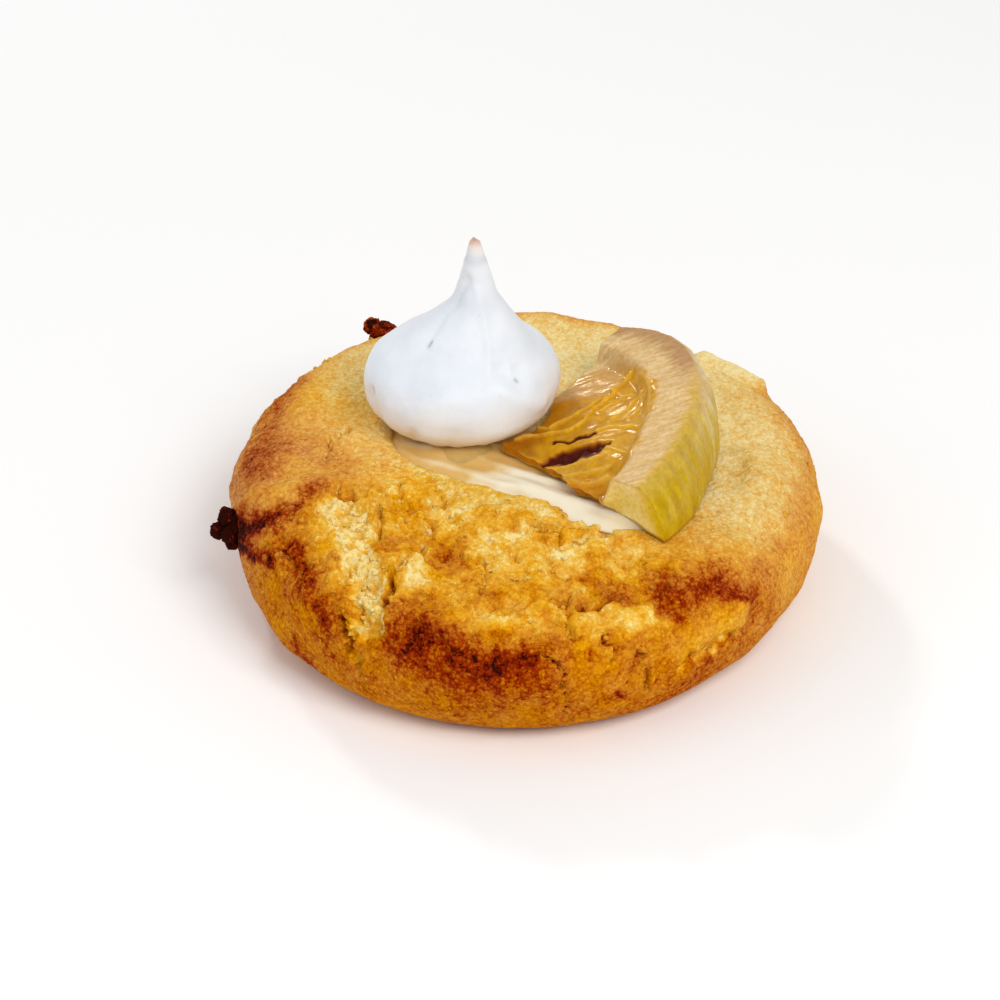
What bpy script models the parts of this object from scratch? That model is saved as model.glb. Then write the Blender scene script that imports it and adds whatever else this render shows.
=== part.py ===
"""A thick soft cookie, cracked at the front, with a small pool of cream on top, a meringue kiss
standing in the cream and a wedge of candied citrus lying against it.

Lengths are millimetres until each mesh is made. The cookie's own middle is the origin while
the shapes are worked out; at the end everything moves together, so that the origin lies under
the middle of the whole piece, on the surface that it stands on. +X is right, -Y the front.
"""
import math

import bmesh
import bpy
import numpy as np
from mathutils import Vector, noise

MM = 0.001
TOUCH_GAP = 0.35            # clear distance between neighbouring pieces

# ---- cookie: a round section carried round the middle -----------------------------------
COOKIE_RADIUS = 37.8        # at the widest level
COOKIE_LOBES = ((3, -90.0, 0.015), (2, 90.0, 0.014), (3, 0.0, 0.009))  # waves, bearing, share
WIDEST_LEVEL = 9.0          # height of the widest level
PLATEAU_LEVEL = 18.3        # height where the flat top ends
TOP_DOME = 1.0              # rise from there to the middle
FRONT_SHOULDER = 13.0       # how far the rounding reaches in, at the front
BACK_SHOULDER = 8.0         # and at the back, where the rim is sharper
UNDER_CURVE = 7.4           # how far the lower rounding reaches in
SHOULDER_POWER = 2.4
UNDER_POWER = 2.3
# Travel along the section, from the middle of the top to the middle of the base.
TRAVEL_PLATEAU, TRAVEL_WIDEST, TRAVEL_FOOT, TRAVEL_END = 27.0, 43.0, 55.0, 85.0
COOKIE_FACET = 1.6          # edge length of the top's and the wall's triangles
BASE_FACET = 5.0            # edge length of the base's triangles

# Routes over the surface are given as (bearing in degrees, travel in millimetres).
# Each crack: depth, half width, route.
CRACKS = (
    (1.0, 2.3, ((-151, 28.0), (-144, 27.8), (-134, 29.8), (-126, 32.6), (-121, 36.0), (-120, 38.5))),
    (1.7, 1.2, ((-157, 26.6), (-154, 25.6), (-151, 24.4))),
    (1.5, 0.9, ((-146, 23.6), (-139, 25.4), (-132, 28.2))),
    (1.6, 0.9, ((-121, 26.6), (-120, 29.8), (-120, 31.4))),
    (2.4, 0.9, ((-121, 31.6), (-118, 33.0), (-118, 34.8))),
    (1.2, 1.0, ((-125, 20.8), (-120, 25.0), (-119, 27.3))),
    (2.4, 1.0, ((-127, 38.7), (-125, 40.3), (-124, 42.2))),
    (1.0, 0.9, ((-124, 36.8), (-123, 38.9), (-122, 42.5), (-120, 46.5))),
    (1.5, 1.0, ((-88, 18.5), (-84, 20.1), (-80, 20.8))),
    (1.0, 0.9, ((-80, 20.8), (-78, 23.4))),
    (1.0, 1.0, ((-78, 23.0), (-70, 23.4), (-62, 22.6))),
    (1.3, 0.9, ((-85, 31.7), (-81, 32.1))),
    (2.2, 1.1, ((-79, 32.9), (-75, 32.8), (-70, 32.0))),
    (1.0, 0.9, ((-81, 32.6), (-81, 36.0))),
    (0.9, 0.9, ((-74, 37.2), (-74, 40.8))),
    (1.0, 0.9, ((-68, 40.0), (-68, 41.9), (-67, 45.0))),
    (0.9, 1.0, ((-60, 44.0), (-52, 43.3), (-44, 43.2))),
    (0.8, 0.9, ((-112, 22.0), (-106, 25.5), (-101, 27.0), (-99, 31.0))),
)
CRACK_FLOOR, CRACK_EDGE = 0.2, 1.6      # where its floor ends and its side ends, in half widths
ROUTE_WANDER = (2.5, 0.5)               # size and reach of the wandering of cracks and ridges
# Each ridge: height, half width, route.
RIDGES = (
    (1.1, 1.8, ((-168, 38.0), (-164, 33.0), (-162, 27.0))),
    (0.7, 3.0, ((-118, 34.5), (-108, 36.5), (-97, 38.5), (-86, 41.0))),
    (0.8, 1.5, ((-79, 35.5), (-66, 36.0))),
    (0.7, 1.3, ((-117, 26.0), (-116, 31.0))),
    (1.6, 1.8, ((44, 31.5), (38, 33.5), (32, 35.0))),
    (0.9, 2.2, ((108, 31.5), (90, 31.5), (68, 32.0))),
    (0.8, 1.8, ((-56, 40.5), (-44, 40.0))),
)
LUMPS = ((15.0, 0.55), (6.0, 0.45))     # size and height of the soft unevenness all round
PLATE_SIZE = 6.5                        # crust plates between the cracks
PLATE_STEP = 0.9                        # difference in their heights
PLATE_SEAM = 0.25                       # width of the seams, as a share of a plate
PLATES_BEARING, PLATES_SPREAD = -105.0, 62.0    # the side of the cookie that crackled
PLATES_TRAVEL = (12.0, 42.0)
PLATES_FADE = (4.0, 6.0)                # over this travel the plates begin, and end
BED_BY_KISS = (0.5, 3.0)                # beyond the kiss's foot the bed turns into crust here
BED_BY_WEDGE = (1.0, 3.2)               # and beyond the wedge's footprint here

# ---- cream: a pool as wide as a stadium between two points ------------------------------
POOL_LEFT = (-8.0, 2.6)
POOL_RIGHT = (13.5, -9.6)
POOL_RADIUS = 8.0
POOL_FLOOR = 17.4           # floor of the hollow in the cookie
POOL_LEVEL = 18.75
POOL_ROUNDING = 1.1
POOL_LIP = 0.4              # upright part of the edge below the rounding
POOL_SIDES = 44
POOL_EDGE_TURNS = (0.0, 35.0, 65.0, 90.0)       # degrees round the edge's rounding
POOL_TOP_RINGS = (5.6, 4.2, 2.8, 1.4, 0.4)      # distances from the pool's line
POOL_BASE_RING = 3.0                            # the same for the inner ring of the base
POOL_SPILL = 2.0            # beyond the pool, the wedge's underside comes down over this width
MOUND_MIDDLE = (-8.6, 0.2)  # the cream bulges where the kiss presses into it
MOUND_RADIUS = 5.2
MOUND_RISE = 0.45
HOLLOW_MARGIN = 0.6         # flat floor beyond the cream's edge
HOLLOW_SLOPE = 1.5          # width of the hollow's side

# ---- meringue kiss ----------------------------------------------------------------------
KISS_FOOT = (-8.1, 8.6)
KISS_LEVEL = 19.5
KISS_OUTLINE = ((0.0, 9.8), (1.3, 11.4), (4.2, 12.5), (7.5, 11.6), (11.0, 8.0), (13.6, 5.5),
                (16.2, 3.4), (19.2, 2.2), (22.2, 1.35), (24.4, 0.7))    # height, radius
KISS_LEAN = ((0.0, 0.0), (10.0, 0.9), (16.5, 2.3), (20.0, 2.2), (24.4, 2.1))  # height, shift
KISS_LEAN_FORWARD = 0.3     # share of the lean that goes to the front
KISS_SIDES = 34
KISS_LEVELS = 26
KISS_FOLDS = 3              # soft folds that the piping leaves
KISS_FOLD_DEPTH = 0.045
KISS_FOLDS_GROW = (3.0, 12.0)           # heights over which the folds grow
KISS_FOLDS_FADE = (17.0, 22.0)          # and fade
KISS_TWIST = 0.14           # turn of the folds for each millimetre of height
KISS_NIB = (-0.2, 0.0, 0.7) # the tip breaks off a little to one side

# ---- candied citrus wedge ---------------------------------------------------------------
WEDGE_POINT = (-4.4, 0.0, 19.5)         # where its two straight cuts would meet
WEDGE_SLOPE = 19.8          # degrees that the cut face rises towards the rind
WEDGE_FROM, WEDGE_TO = -47.0, 45.0      # bearings of its two straight cuts
# By bearing from the point: distance to the rind, to the torn inner end, and how much further
# in the rind ends at the bottom.
WEDGE_RIM = ((-48.0, 28.8), (-32.0, 28.7), (-15.0, 28.3), (3.0, 28.4), (22.0, 28.3), (35.0, 27.6),
             (46.0, 26.3))
WEDGE_INNER = ((-48.0, 2.0), (-20.0, 2.8), (0.0, 4.1), (15.0, 5.9), (30.0, 8.6), (40.0, 10.7),
               (47.0, 12.2))
WEDGE_TUCK = ((-48.0, -0.7), (-35.0, 0.4), (-20.0, 1.4), (5.0, 1.3), (46.0, 1.4))
WEDGE_RADIUS = 28.4
PITH_WIDTH = 6.2
FLESH_SAG = 1.8             # how far the flesh lies below the pith
FLESH_FADE = 2.5            # width of the step between them
FLESH_LEAST = 0.9           # least thickness of the flesh
SLUMP_WIDTH = 5.5           # along the front cut the flesh has slumped onto the cream
SLUMP_INSET = 1.5           # the slump reaches this far into the pith
WEDGE_ROUNDING = 0.7
WEDGE_BULGE = 0.8           # the rind's side swells by this
WEDGE_WALL = (0.09, 0.5, 0.9)           # the points down the rind's side, as shares of it
FOOT_REACH = 2.0            # the rind's foot rests on the lowest bed within this reach
WEDGE_MARGIN, WEDGE_MARGIN_TURN = 3.0, 6.0      # its footprint's margin, in reach and degrees
WEDGE_STATIONS = 30
WEDGE_STEPS = 16            # points along each section's cut face
WEDGE_BASE_STEPS = 8        # and along its underside
WEDGE_BASE_EDGE = 0.97      # the underside starts at this share of the way to the rind's foot
WEDGE_BED = 18.8            # no cookie or cream is higher under the wedge

# ---- burnt drips on the cookie's edge: place, radius ------------------------------------
LEFT_DRIPS = ((-37.6, -6.4, 12.6, 1.4), (-38.7, -6.6, 10.7, 1.25), (-37.2, -7.8, 10.9, 1.4),
              (-36.9, -7.0, 9.2, 1.2), (-36.0, -6.9, 11.4, 2.1))
BACK_DRIPS = ((-18.4, 31.6, 16.6, 1.9), (-20.0, 32.4, 17.6, 1.2), (-17.2, 32.4, 15.4, 1.5))


# ---- small helpers ----------------------------------------------------------------------
def smoothstep(low, high, value):
    """0 below low, 1 above high, an even S between them."""
    share = np.clip((value - low) / (high - low), 0.0, 1.0)
    return share * share * (3.0 - 2.0 * share)


def noise_at(points, size, seed):
    """Soft noise from -1 to 1 with lumps of this size, at each point."""
    shift = Vector((seed * 17.3, seed * 9.1, seed * 5.7))
    return np.array([noise.noise(Vector(p) / size + shift) for p in points]) * 1.6


def plate_at(points, size, seed):
    """A level from -1 to 1 for each crust plate, and how near its edge each point is."""
    shift = Vector((seed * 3.1, seed * 7.7, seed * 1.9))
    level = np.empty(len(points))
    edge = np.empty(len(points))
    for index, point in enumerate(points):
        distances, centres = noise.voronoi(Vector(point) / size + shift)
        level[index] = noise.noise(centres[0] * 5.3) * 2.0
        edge[index] = distances[1] - distances[0]
    return np.clip(level, -1.0, 1.0), edge


def smooth_curve(knots, at):
    """Values of a smooth curve through (position, value) knots."""
    x = np.array([knot[0] for knot in knots])
    y = np.array([knot[1] for knot in knots])
    slope = np.gradient(y, x)
    at = np.clip(at, x[0], x[-1])
    k = np.clip(np.searchsorted(x, at, side="right") - 1, 0, len(x) - 2)
    step = x[k + 1] - x[k]
    s = (at - x[k]) / step
    return ((2 * s**3 - 3 * s**2 + 1) * y[k] + (s**3 - 2 * s**2 + s) * step * slope[k]
            + (3 * s**2 - 2 * s**3) * y[k + 1] + (s**3 - s**2) * step * slope[k + 1])


def unrolled(bearing, travel):
    """The surface laid flat: distance from the middle is the travel along the section."""
    return np.stack([travel * np.cos(bearing), travel * np.sin(bearing)], axis=-1)


def distance_to_route(flat, route):
    """Distance in the unrolled surface from each point to a route."""
    knots = [unrolled(math.radians(bearing), travel) for bearing, travel in route]
    best = np.full(len(flat), np.inf)
    for start, end in zip(knots[:-1], knots[1:]):
        along = end - start
        share = np.clip(((flat - start) @ along) / (along @ along), 0.0, 1.0)
        gap = flat - start - share[:, None] * along
        best = np.minimum(best, np.hypot(gap[:, 0], gap[:, 1]))
    return best


# ---- cookie -----------------------------------------------------------------------------
def cookie_radius(bearing):
    """Radius at the widest level, a little off round."""
    lobes = sum(share * np.cos(waves * (bearing - math.radians(middle)))
                for waves, middle, share in COOKIE_LOBES)
    return COOKIE_RADIUS * (1.0 + lobes)


def shoulder_width(bearing):
    """How far the upper rounding reaches in: wide at the front, narrow at the back."""
    middle = (FRONT_SHOULDER + BACK_SHOULDER) / 2.0
    return middle - (FRONT_SHOULDER - BACK_SHOULDER) / 2.0 * np.sin(bearing)


def top_level(x, y):
    """Height of the smooth top over a point of the plan."""
    bearing = np.arctan2(y, x)
    reach = np.hypot(x, y)
    width = shoulder_width(bearing)
    edge = cookie_radius(bearing) - width
    flat = PLATEAU_LEVEL + TOP_DOME * (1.0 - np.minimum(reach / edge, 1.0) ** 2)
    out = np.clip((reach - edge) / width, 0.0, 1.0) ** SHOULDER_POWER
    rounded = WIDEST_LEVEL + (PLATEAU_LEVEL - WIDEST_LEVEL) * (1.0 - out) ** (1.0 / SHOULDER_POWER)
    return np.where(reach < edge, flat, rounded)


def smooth_cookie(bearing, travel):
    """Points of the cookie's smooth form, from the top's middle to the base's middle."""
    quarter = math.pi / 2.0
    rim = cookie_radius(bearing)
    width = shoulder_width(bearing)
    foot = rim - UNDER_CURVE
    top = np.clip(travel / TRAVEL_PLATEAU, 0.0, 1.0)
    upper = np.clip((travel - TRAVEL_PLATEAU) / (TRAVEL_WIDEST - TRAVEL_PLATEAU), 0.0, 1.0)
    lower = np.clip((travel - TRAVEL_WIDEST) / (TRAVEL_FOOT - TRAVEL_WIDEST), 0.0, 1.0)
    base = np.clip((travel - TRAVEL_FOOT) / (TRAVEL_END - TRAVEL_FOOT), 0.0, 1.0)
    reach = (rim - width) * top
    height = PLATEAU_LEVEL + TOP_DOME * (1.0 - top**2)
    on_upper = travel > TRAVEL_PLATEAU
    outward = np.sin(upper * quarter) ** (2.0 / SHOULDER_POWER)
    upward = np.clip(np.cos(upper * quarter), 0.0, 1.0) ** (2.0 / SHOULDER_POWER)
    reach = np.where(on_upper, rim - width + width * outward, reach)
    height = np.where(on_upper, WIDEST_LEVEL + (PLATEAU_LEVEL - WIDEST_LEVEL) * upward, height)
    on_lower = travel > TRAVEL_WIDEST
    outward = np.clip(np.cos(lower * quarter), 0.0, 1.0) ** (2.0 / UNDER_POWER)
    downward = np.sin(lower * quarter) ** (2.0 / UNDER_POWER)
    reach = np.where(on_lower, foot + UNDER_CURVE * outward, reach)
    height = np.where(on_lower, WIDEST_LEVEL * (1.0 - downward), height)
    on_base = travel > TRAVEL_FOOT
    reach = np.where(on_base, foot * (1.0 - base), reach)
    height = np.where(on_base, 0.0, height)
    return np.stack([reach * np.cos(bearing), reach * np.sin(bearing), height], axis=-1)


def smooth_normals(bearing, travel):
    """Outward directions of the smooth form."""
    turn, step = 1e-3, 1e-2
    here = np.clip(travel, step, TRAVEL_END - step)
    along = smooth_cookie(bearing, here + step) - smooth_cookie(bearing, here - step)
    across = smooth_cookie(bearing + turn, here) - smooth_cookie(bearing - turn, here)
    normal = np.cross(along, across)
    return normal / np.maximum(np.linalg.norm(normal, axis=1, keepdims=True), 1e-9)


def relief(points, bearing, travel):
    """How far the crust stands out of the smooth form: lumps, plates, ridges and cracks."""
    rise = sum(height * noise_at(points, size, seed)
               for seed, (size, height) in enumerate(LUMPS, start=1))
    off = np.abs((np.degrees(bearing) - PLATES_BEARING + 180.0) % 360.0 - 180.0)
    crackled = 1.0 - smoothstep(0.7 * PLATES_SPREAD, PLATES_SPREAD, off)
    crackled *= smoothstep(PLATES_TRAVEL[0], PLATES_TRAVEL[0] + PLATES_FADE[0], travel)
    crackled *= 1.0 - smoothstep(PLATES_TRAVEL[1] - PLATES_FADE[1], PLATES_TRAVEL[1], travel)
    level, edge = plate_at(points, PLATE_SIZE, 3)
    seam = 1.0 - smoothstep(0.0, PLATE_SEAM, edge)
    rise += crackled * PLATE_STEP * (level - seam) / 2.0
    flat = unrolled(bearing, travel)
    size, reach = ROUTE_WANDER
    flat = flat + reach * np.stack([noise_at(points, size, 5), noise_at(points, size, 6)], axis=-1)
    for height, width, route in RIDGES:
        rise += height * np.exp(-((distance_to_route(flat, route) / width) ** 2))
    for depth, width, route in CRACKS:
        away = distance_to_route(flat, route)
        rise -= depth * (1.0 - smoothstep(CRACK_FLOOR * width, CRACK_EDGE * width, away))
    calm = 1.0 - smoothstep(TRAVEL_WIDEST, TRAVEL_FOOT - 3.0, travel)
    return rise * calm


def settle_under_toppings(points):
    """The hollow for the cream, and a bed with no bumps under the kiss and the wedge."""
    plan = points[:, :2]
    z = points[:, 2].copy()
    on_top = z > WIDEST_LEVEL
    smooth = top_level(points[:, 0], points[:, 1])
    kiss = np.hypot(*(plan - np.array(KISS_FOOT)).T)
    foot = KISS_OUTLINE[0][1]
    calm = 1.0 - smoothstep(foot + BED_BY_KISS[0], foot + BED_BY_KISS[1], kiss)
    z = z + (np.minimum(smooth, KISS_LEVEL - TOUCH_GAP) - z) * calm
    outside = wedge_clearance(plan)
    calm = 1.0 - smoothstep(*BED_BY_WEDGE, outside)
    z = z + (np.minimum(smooth, WEDGE_BED) - z) * calm
    pool = pool_distance(plan)
    wall = POOL_RADIUS + HOLLOW_MARGIN
    sunk = 1.0 - smoothstep(wall, wall + HOLLOW_SLOPE, pool)
    z = z + (POOL_FLOOR - z) * sunk
    settled = points.copy()
    settled[:, 2] = np.where(on_top, z, points[:, 2])
    return settled


def ring_plan(facet, base_facet):
    """Travel and number of points of each ring, so that triangles stay about even."""
    rings = []
    travel = facet * 0.9
    while travel < TRAVEL_END - base_facet * 0.5:
        share = smoothstep(TRAVEL_FOOT - 1.0, TRAVEL_FOOT + 8.0, travel)
        size = float(facet + (base_facet - facet) * share)
        reach = float(np.hypot(*smooth_cookie(np.array([0.0]), np.array([travel]))[0, :2]))
        rings.append((travel, max(6, round(2.0 * math.pi * reach / size))))
        travel += size * 0.88
    return rings


def stitch(first, first_count, second, second_count):
    """Triangles between two rings with different numbers of points."""
    faces = []
    a = b = 0
    while a < first_count or b < second_count:
        step_a = (a + 1) / first_count
        step_b = (b + 1) / second_count
        corner_a = first + a % first_count
        corner_b = second + b % second_count
        if step_a <= step_b:
            faces.append((corner_a, corner_b, first + (a + 1) % first_count))
            a += 1
        else:
            faces.append((corner_a, corner_b, second + (b + 1) % second_count))
            b += 1
    return faces


def cookie_mesh():
    """Points and triangles of the cookie's crust."""
    bearing, travel, counts = [0.0], [0.0], []
    for place, count in ring_plan(COOKIE_FACET, BASE_FACET):
        turn = (len(counts) % 2) * math.pi / count
        bearing += [turn + 2.0 * math.pi * k / count for k in range(count)]
        travel += [place] * count
        counts.append(count)
    bearing.append(0.0)
    travel.append(TRAVEL_END)
    bearing, travel = np.array(bearing), np.array(travel)
    points = smooth_cookie(bearing, travel)
    normals = smooth_normals(bearing, travel)
    normals[0], normals[-1] = (0.0, 0.0, 1.0), (0.0, 0.0, -1.0)
    points = points + normals * relief(points, bearing, travel)[:, None]
    points = settle_under_toppings(points)
    faces = [(0, 1 + k, 1 + (k + 1) % counts[0]) for k in range(counts[0])]
    start = 1
    for inner, outer in zip(counts[:-1], counts[1:]):
        faces += stitch(start, inner, start + inner, outer)
        start += inner
    last = len(points) - 1
    faces += [(start + k, last, start + (k + 1) % counts[-1]) for k in range(counts[-1])]
    return points, faces


# ---- cream ------------------------------------------------------------------------------
def pool_distance(plan):
    """Distance in plan from the line between the pool's two ends."""
    start, end = np.array(POOL_LEFT), np.array(POOL_RIGHT)
    along = end - start
    share = np.clip(((plan - start) @ along) / (along @ along), 0.0, 1.0)
    gap = plan - start - share[:, None] * along
    return np.hypot(gap[:, 0], gap[:, 1])


def pool_ring(radius, count):
    """Points in plan at one distance from the pool's line: two straights and two half rounds."""
    start, end = np.array(POOL_LEFT), np.array(POOL_RIGHT)
    along = (end - start) / np.linalg.norm(end - start)
    side = np.array([-along[1], along[0]])
    length = np.linalg.norm(end - start)
    whole = 2.0 * length + 2.0 * math.pi * radius
    ring = []
    for k in range(count):
        run = whole * k / count
        if run < length:
            ring.append(start + along * run - side * radius)
        elif run < length + math.pi * radius:
            turn = (run - length) / radius
            ring.append(end + radius * (along * math.sin(turn) - side * math.cos(turn)))
        elif run < 2.0 * length + math.pi * radius:
            back = run - length - math.pi * radius
            ring.append(end - along * back + side * radius)
        else:
            turn = (run - 2.0 * length - math.pi * radius) / radius
            ring.append(start + radius * (side * math.cos(turn) - along * math.sin(turn)))
    return np.array(ring)


def cream_mesh():
    """A flat-bottomed pool with a rounded edge."""
    count = POOL_SIDES
    floor = POOL_FLOOR + TOUCH_GAP
    rings = [(POOL_BASE_RING, floor), (POOL_RADIUS - POOL_ROUNDING, floor)]
    for turn in POOL_EDGE_TURNS:
        angle = math.radians(turn)
        inset = POOL_ROUNDING * (1.0 - math.cos(angle))
        lift = (POOL_LEVEL - floor - POOL_LIP) * math.sin(angle)
        rings.append((POOL_RADIUS - inset, floor + POOL_LIP + lift))
    rings += [(radius, POOL_LEVEL) for radius in POOL_TOP_RINGS]
    points, faces = [], []
    for radius, level in rings:
        for x, y in pool_ring(radius, count):
            away = math.hypot(x - MOUND_MIDDLE[0], y - MOUND_MIDDLE[1])
            bulge = MOUND_RISE * float(1.0 - smoothstep(0.4 * MOUND_RADIUS, MOUND_RADIUS, away))
            points.append((x, y, level + (bulge if level == POOL_LEVEL else 0.0)))
    for ring in range(len(rings) - 1):
        for k in range(count):
            a, b = ring * count + k, ring * count + (k + 1) % count
            faces.append((a, b, b + count, a + count))
    faces.append(tuple(reversed(range(count))))
    faces.append(tuple((len(rings) - 1) * count + k for k in range(count)))
    return np.array(points), faces


# ---- meringue ---------------------------------------------------------------------------
def kiss_point(height, bearing):
    """A point of the meringue's skin, from its outline, its folds and its lean."""
    radius = smooth_curve(KISS_OUTLINE, height)
    fold = smoothstep(*KISS_FOLDS_GROW, height) * (1.0 - smoothstep(*KISS_FOLDS_FADE, height))
    twist = bearing * KISS_FOLDS + height * KISS_TWIST
    radius = radius * (1.0 + KISS_FOLD_DEPTH * fold * np.cos(twist))
    lean = smooth_curve(KISS_LEAN, height)
    x = KISS_FOOT[0] + lean + radius * np.cos(bearing)
    y = KISS_FOOT[1] - KISS_LEAN_FORWARD * lean + radius * np.sin(bearing)
    return x, y, KISS_LEVEL + height


def kiss_mesh():
    """Rings of the kiss from its flat foot to its drawn-out tip."""
    top = KISS_OUTLINE[-1][0]
    share = np.linspace(0.0, 1.0, KISS_LEVELS)
    levels = top * (0.75 * share + 0.25 * share**0.6)
    turns = np.linspace(0.0, 2.0 * math.pi, KISS_SIDES, endpoint=False)
    points, faces = [], []
    for level in levels:
        x, y, z = kiss_point(np.full(KISS_SIDES, level), turns)
        points += list(np.stack([x, y, z], axis=-1))
    for ring in range(KISS_LEVELS - 1):
        for k in range(KISS_SIDES):
            a, b = ring * KISS_SIDES + k, ring * KISS_SIDES + (k + 1) % KISS_SIDES
            faces.append((a, b, b + KISS_SIDES, a + KISS_SIDES))
    faces.append(tuple(reversed(range(KISS_SIDES))))
    middle = np.mean(points[-KISS_SIDES:], axis=0) + np.array(KISS_NIB)
    points.append(middle)
    last = len(points) - 1
    start = (KISS_LEVELS - 1) * KISS_SIDES
    faces += [(start + k, start + (k + 1) % KISS_SIDES, last) for k in range(KISS_SIDES)]
    return np.array(points), faces


# ---- candied citrus ---------------------------------------------------------------------
def wedge_frame():
    """The wedge's own directions: towards the rind, across, and out of its cut face."""
    slope = math.radians(WEDGE_SLOPE)
    return (np.array([math.cos(slope), 0.0, math.sin(slope)]), np.array([0.0, 1.0, 0.0]),
            np.array([-math.sin(slope), 0.0, math.cos(slope)]))


def wedge_clearance(plan):
    """Distance in plan outside the wedge's footprint, about."""
    gap = plan - np.array(WEDGE_POINT[:2])
    reach = np.hypot(gap[:, 0], gap[:, 1])
    bearing = np.degrees(np.arctan2(gap[:, 1], gap[:, 0]))
    beyond = np.maximum(WEDGE_FROM - bearing, bearing - WEDGE_TO) - WEDGE_MARGIN_TURN
    side = reach * np.sin(np.radians(np.clip(beyond, 0.0, 90.0)))
    return np.maximum(np.maximum(reach - WEDGE_RADIUS - WEDGE_MARGIN, 0.0), side)


def wedge_base_level(x, y):
    """Height of the wedge's underside, just clear of the cookie and the cream."""
    bed = min(float(top_level(x, y)), WEDGE_BED)
    away = pool_distance(np.array([[x, y]]))[0]
    over_pool = 1.0 - smoothstep(POOL_RADIUS, POOL_RADIUS + POOL_SPILL, away)
    return bed + (WEDGE_BED - bed) * float(over_pool) + TOUCH_GAP


def wedge_value(knots, bearing):
    """One of the wedge's measures that change with the bearing."""
    return float(smooth_curve(knots, math.degrees(bearing)))


def flesh_share(reach):
    """1 in the flesh, 0 in the pith."""
    flesh_end = WEDGE_RADIUS - PITH_WIDTH
    return 1.0 - smoothstep(flesh_end - FLESH_FADE, flesh_end, reach)


def wedge_ray(bearing):
    """Direction from the point along the cut face."""
    out, across, _ = wedge_frame()
    return math.cos(bearing) * out + math.sin(bearing) * across


def wedge_top(bearing, reach):
    """A point of the cut face: the flesh sags, and slumps towards the front cut."""
    sag = FLESH_SAG * flesh_share(reach)
    place = np.array(WEDGE_POINT) + wedge_ray(bearing) * reach - wedge_frame()[2] * sag
    least = wedge_base_level(place[0], place[1]) + FLESH_LEAST
    inside = reach * math.sin(bearing - math.radians(WEDGE_FROM))
    slump = flesh_share(reach - SLUMP_INSET) * (1.0 - smoothstep(0.0, SLUMP_WIDTH, inside))
    place[2] = max(place[2] + (least - place[2]) * slump, least)
    return place


def wedge_section(bearing):
    """One section from the point to the rind: along the cut face, down the rind, and back."""
    up = wedge_frame()[2]
    radius = wedge_value(WEDGE_RIM, bearing)
    ray = wedge_ray(bearing)
    inner = wedge_value(WEDGE_INNER, bearing)
    tuck = wedge_value(WEDGE_TUCK, bearing)
    loop = [wedge_top(bearing, reach)
            for reach in np.linspace(inner, radius - WEDGE_ROUNDING, WEDGE_STEPS)]
    rim = np.array(WEDGE_POINT) + ray * radius
    floor = wedge_base_level(rim[0] + FOOT_REACH * ray[0], rim[1] + FOOT_REACH * ray[1])
    drop = (rim[2] - floor) / up[2]
    for share in WEDGE_WALL:
        bulge = WEDGE_BULGE * math.sin(math.pi * share) - tuck * share
        loop.append(rim - up * drop * share + ray * bulge)
    foot = rim - up * drop - ray * tuck
    core = wedge_top(bearing, inner)
    for share in np.linspace(WEDGE_BASE_EDGE, 0.0, WEDGE_BASE_STEPS):
        plan = core[:2] + (foot[:2] - core[:2]) * share
        loop.append(np.array([plan[0], plan[1], wedge_base_level(plan[0], plan[1])]))
    return loop


def wedge_mesh():
    """Sections of the wedge from one straight cut to the other."""
    bearings = np.radians(np.linspace(WEDGE_FROM, WEDGE_TO, WEDGE_STATIONS))
    points, faces = [], []
    for bearing in bearings:
        points += wedge_section(bearing)
    size = len(points) // WEDGE_STATIONS
    for station in range(WEDGE_STATIONS - 1):
        for k in range(size):
            a, b = station * size + k, station * size + (k + 1) % size
            faces.append((a, a + size, b + size, b))
    faces.append(tuple(range(size)))
    faces.append(tuple((WEDGE_STATIONS - 1) * size + k for k in reversed(range(size))))
    return np.array(points), faces


# ---- objects ----------------------------------------------------------------------------
def material(name, colour, roughness):
    """A plain food finish."""
    finish = bpy.data.materials.new(name)
    finish.use_nodes = True
    shader = finish.node_tree.nodes["Principled BSDF"]
    shader.inputs["Base Color"].default_value = (*colour, 1.0)
    shader.inputs["Roughness"].default_value = roughness
    shader.inputs["Metallic"].default_value = 0.0
    return finish


def add_object(name, mesh_data, finish):
    """One closed body, in metres, with its faces pointing out and split into triangles."""
    points, faces = mesh_data
    mesh = bpy.data.meshes.new(name)
    mesh.from_pydata([tuple(p) for p in np.asarray(points) * MM], [], faces)
    body = bmesh.new()
    body.from_mesh(mesh)
    bmesh.ops.triangulate(body, faces=body.faces[:])
    bmesh.ops.recalc_face_normals(body, faces=body.faces[:])
    body.to_mesh(mesh)
    body.free()
    mesh.materials.append(finish)
    thing = bpy.data.objects.new(name, mesh)
    bpy.context.scene.collection.objects.link(thing)
    return thing


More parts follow.
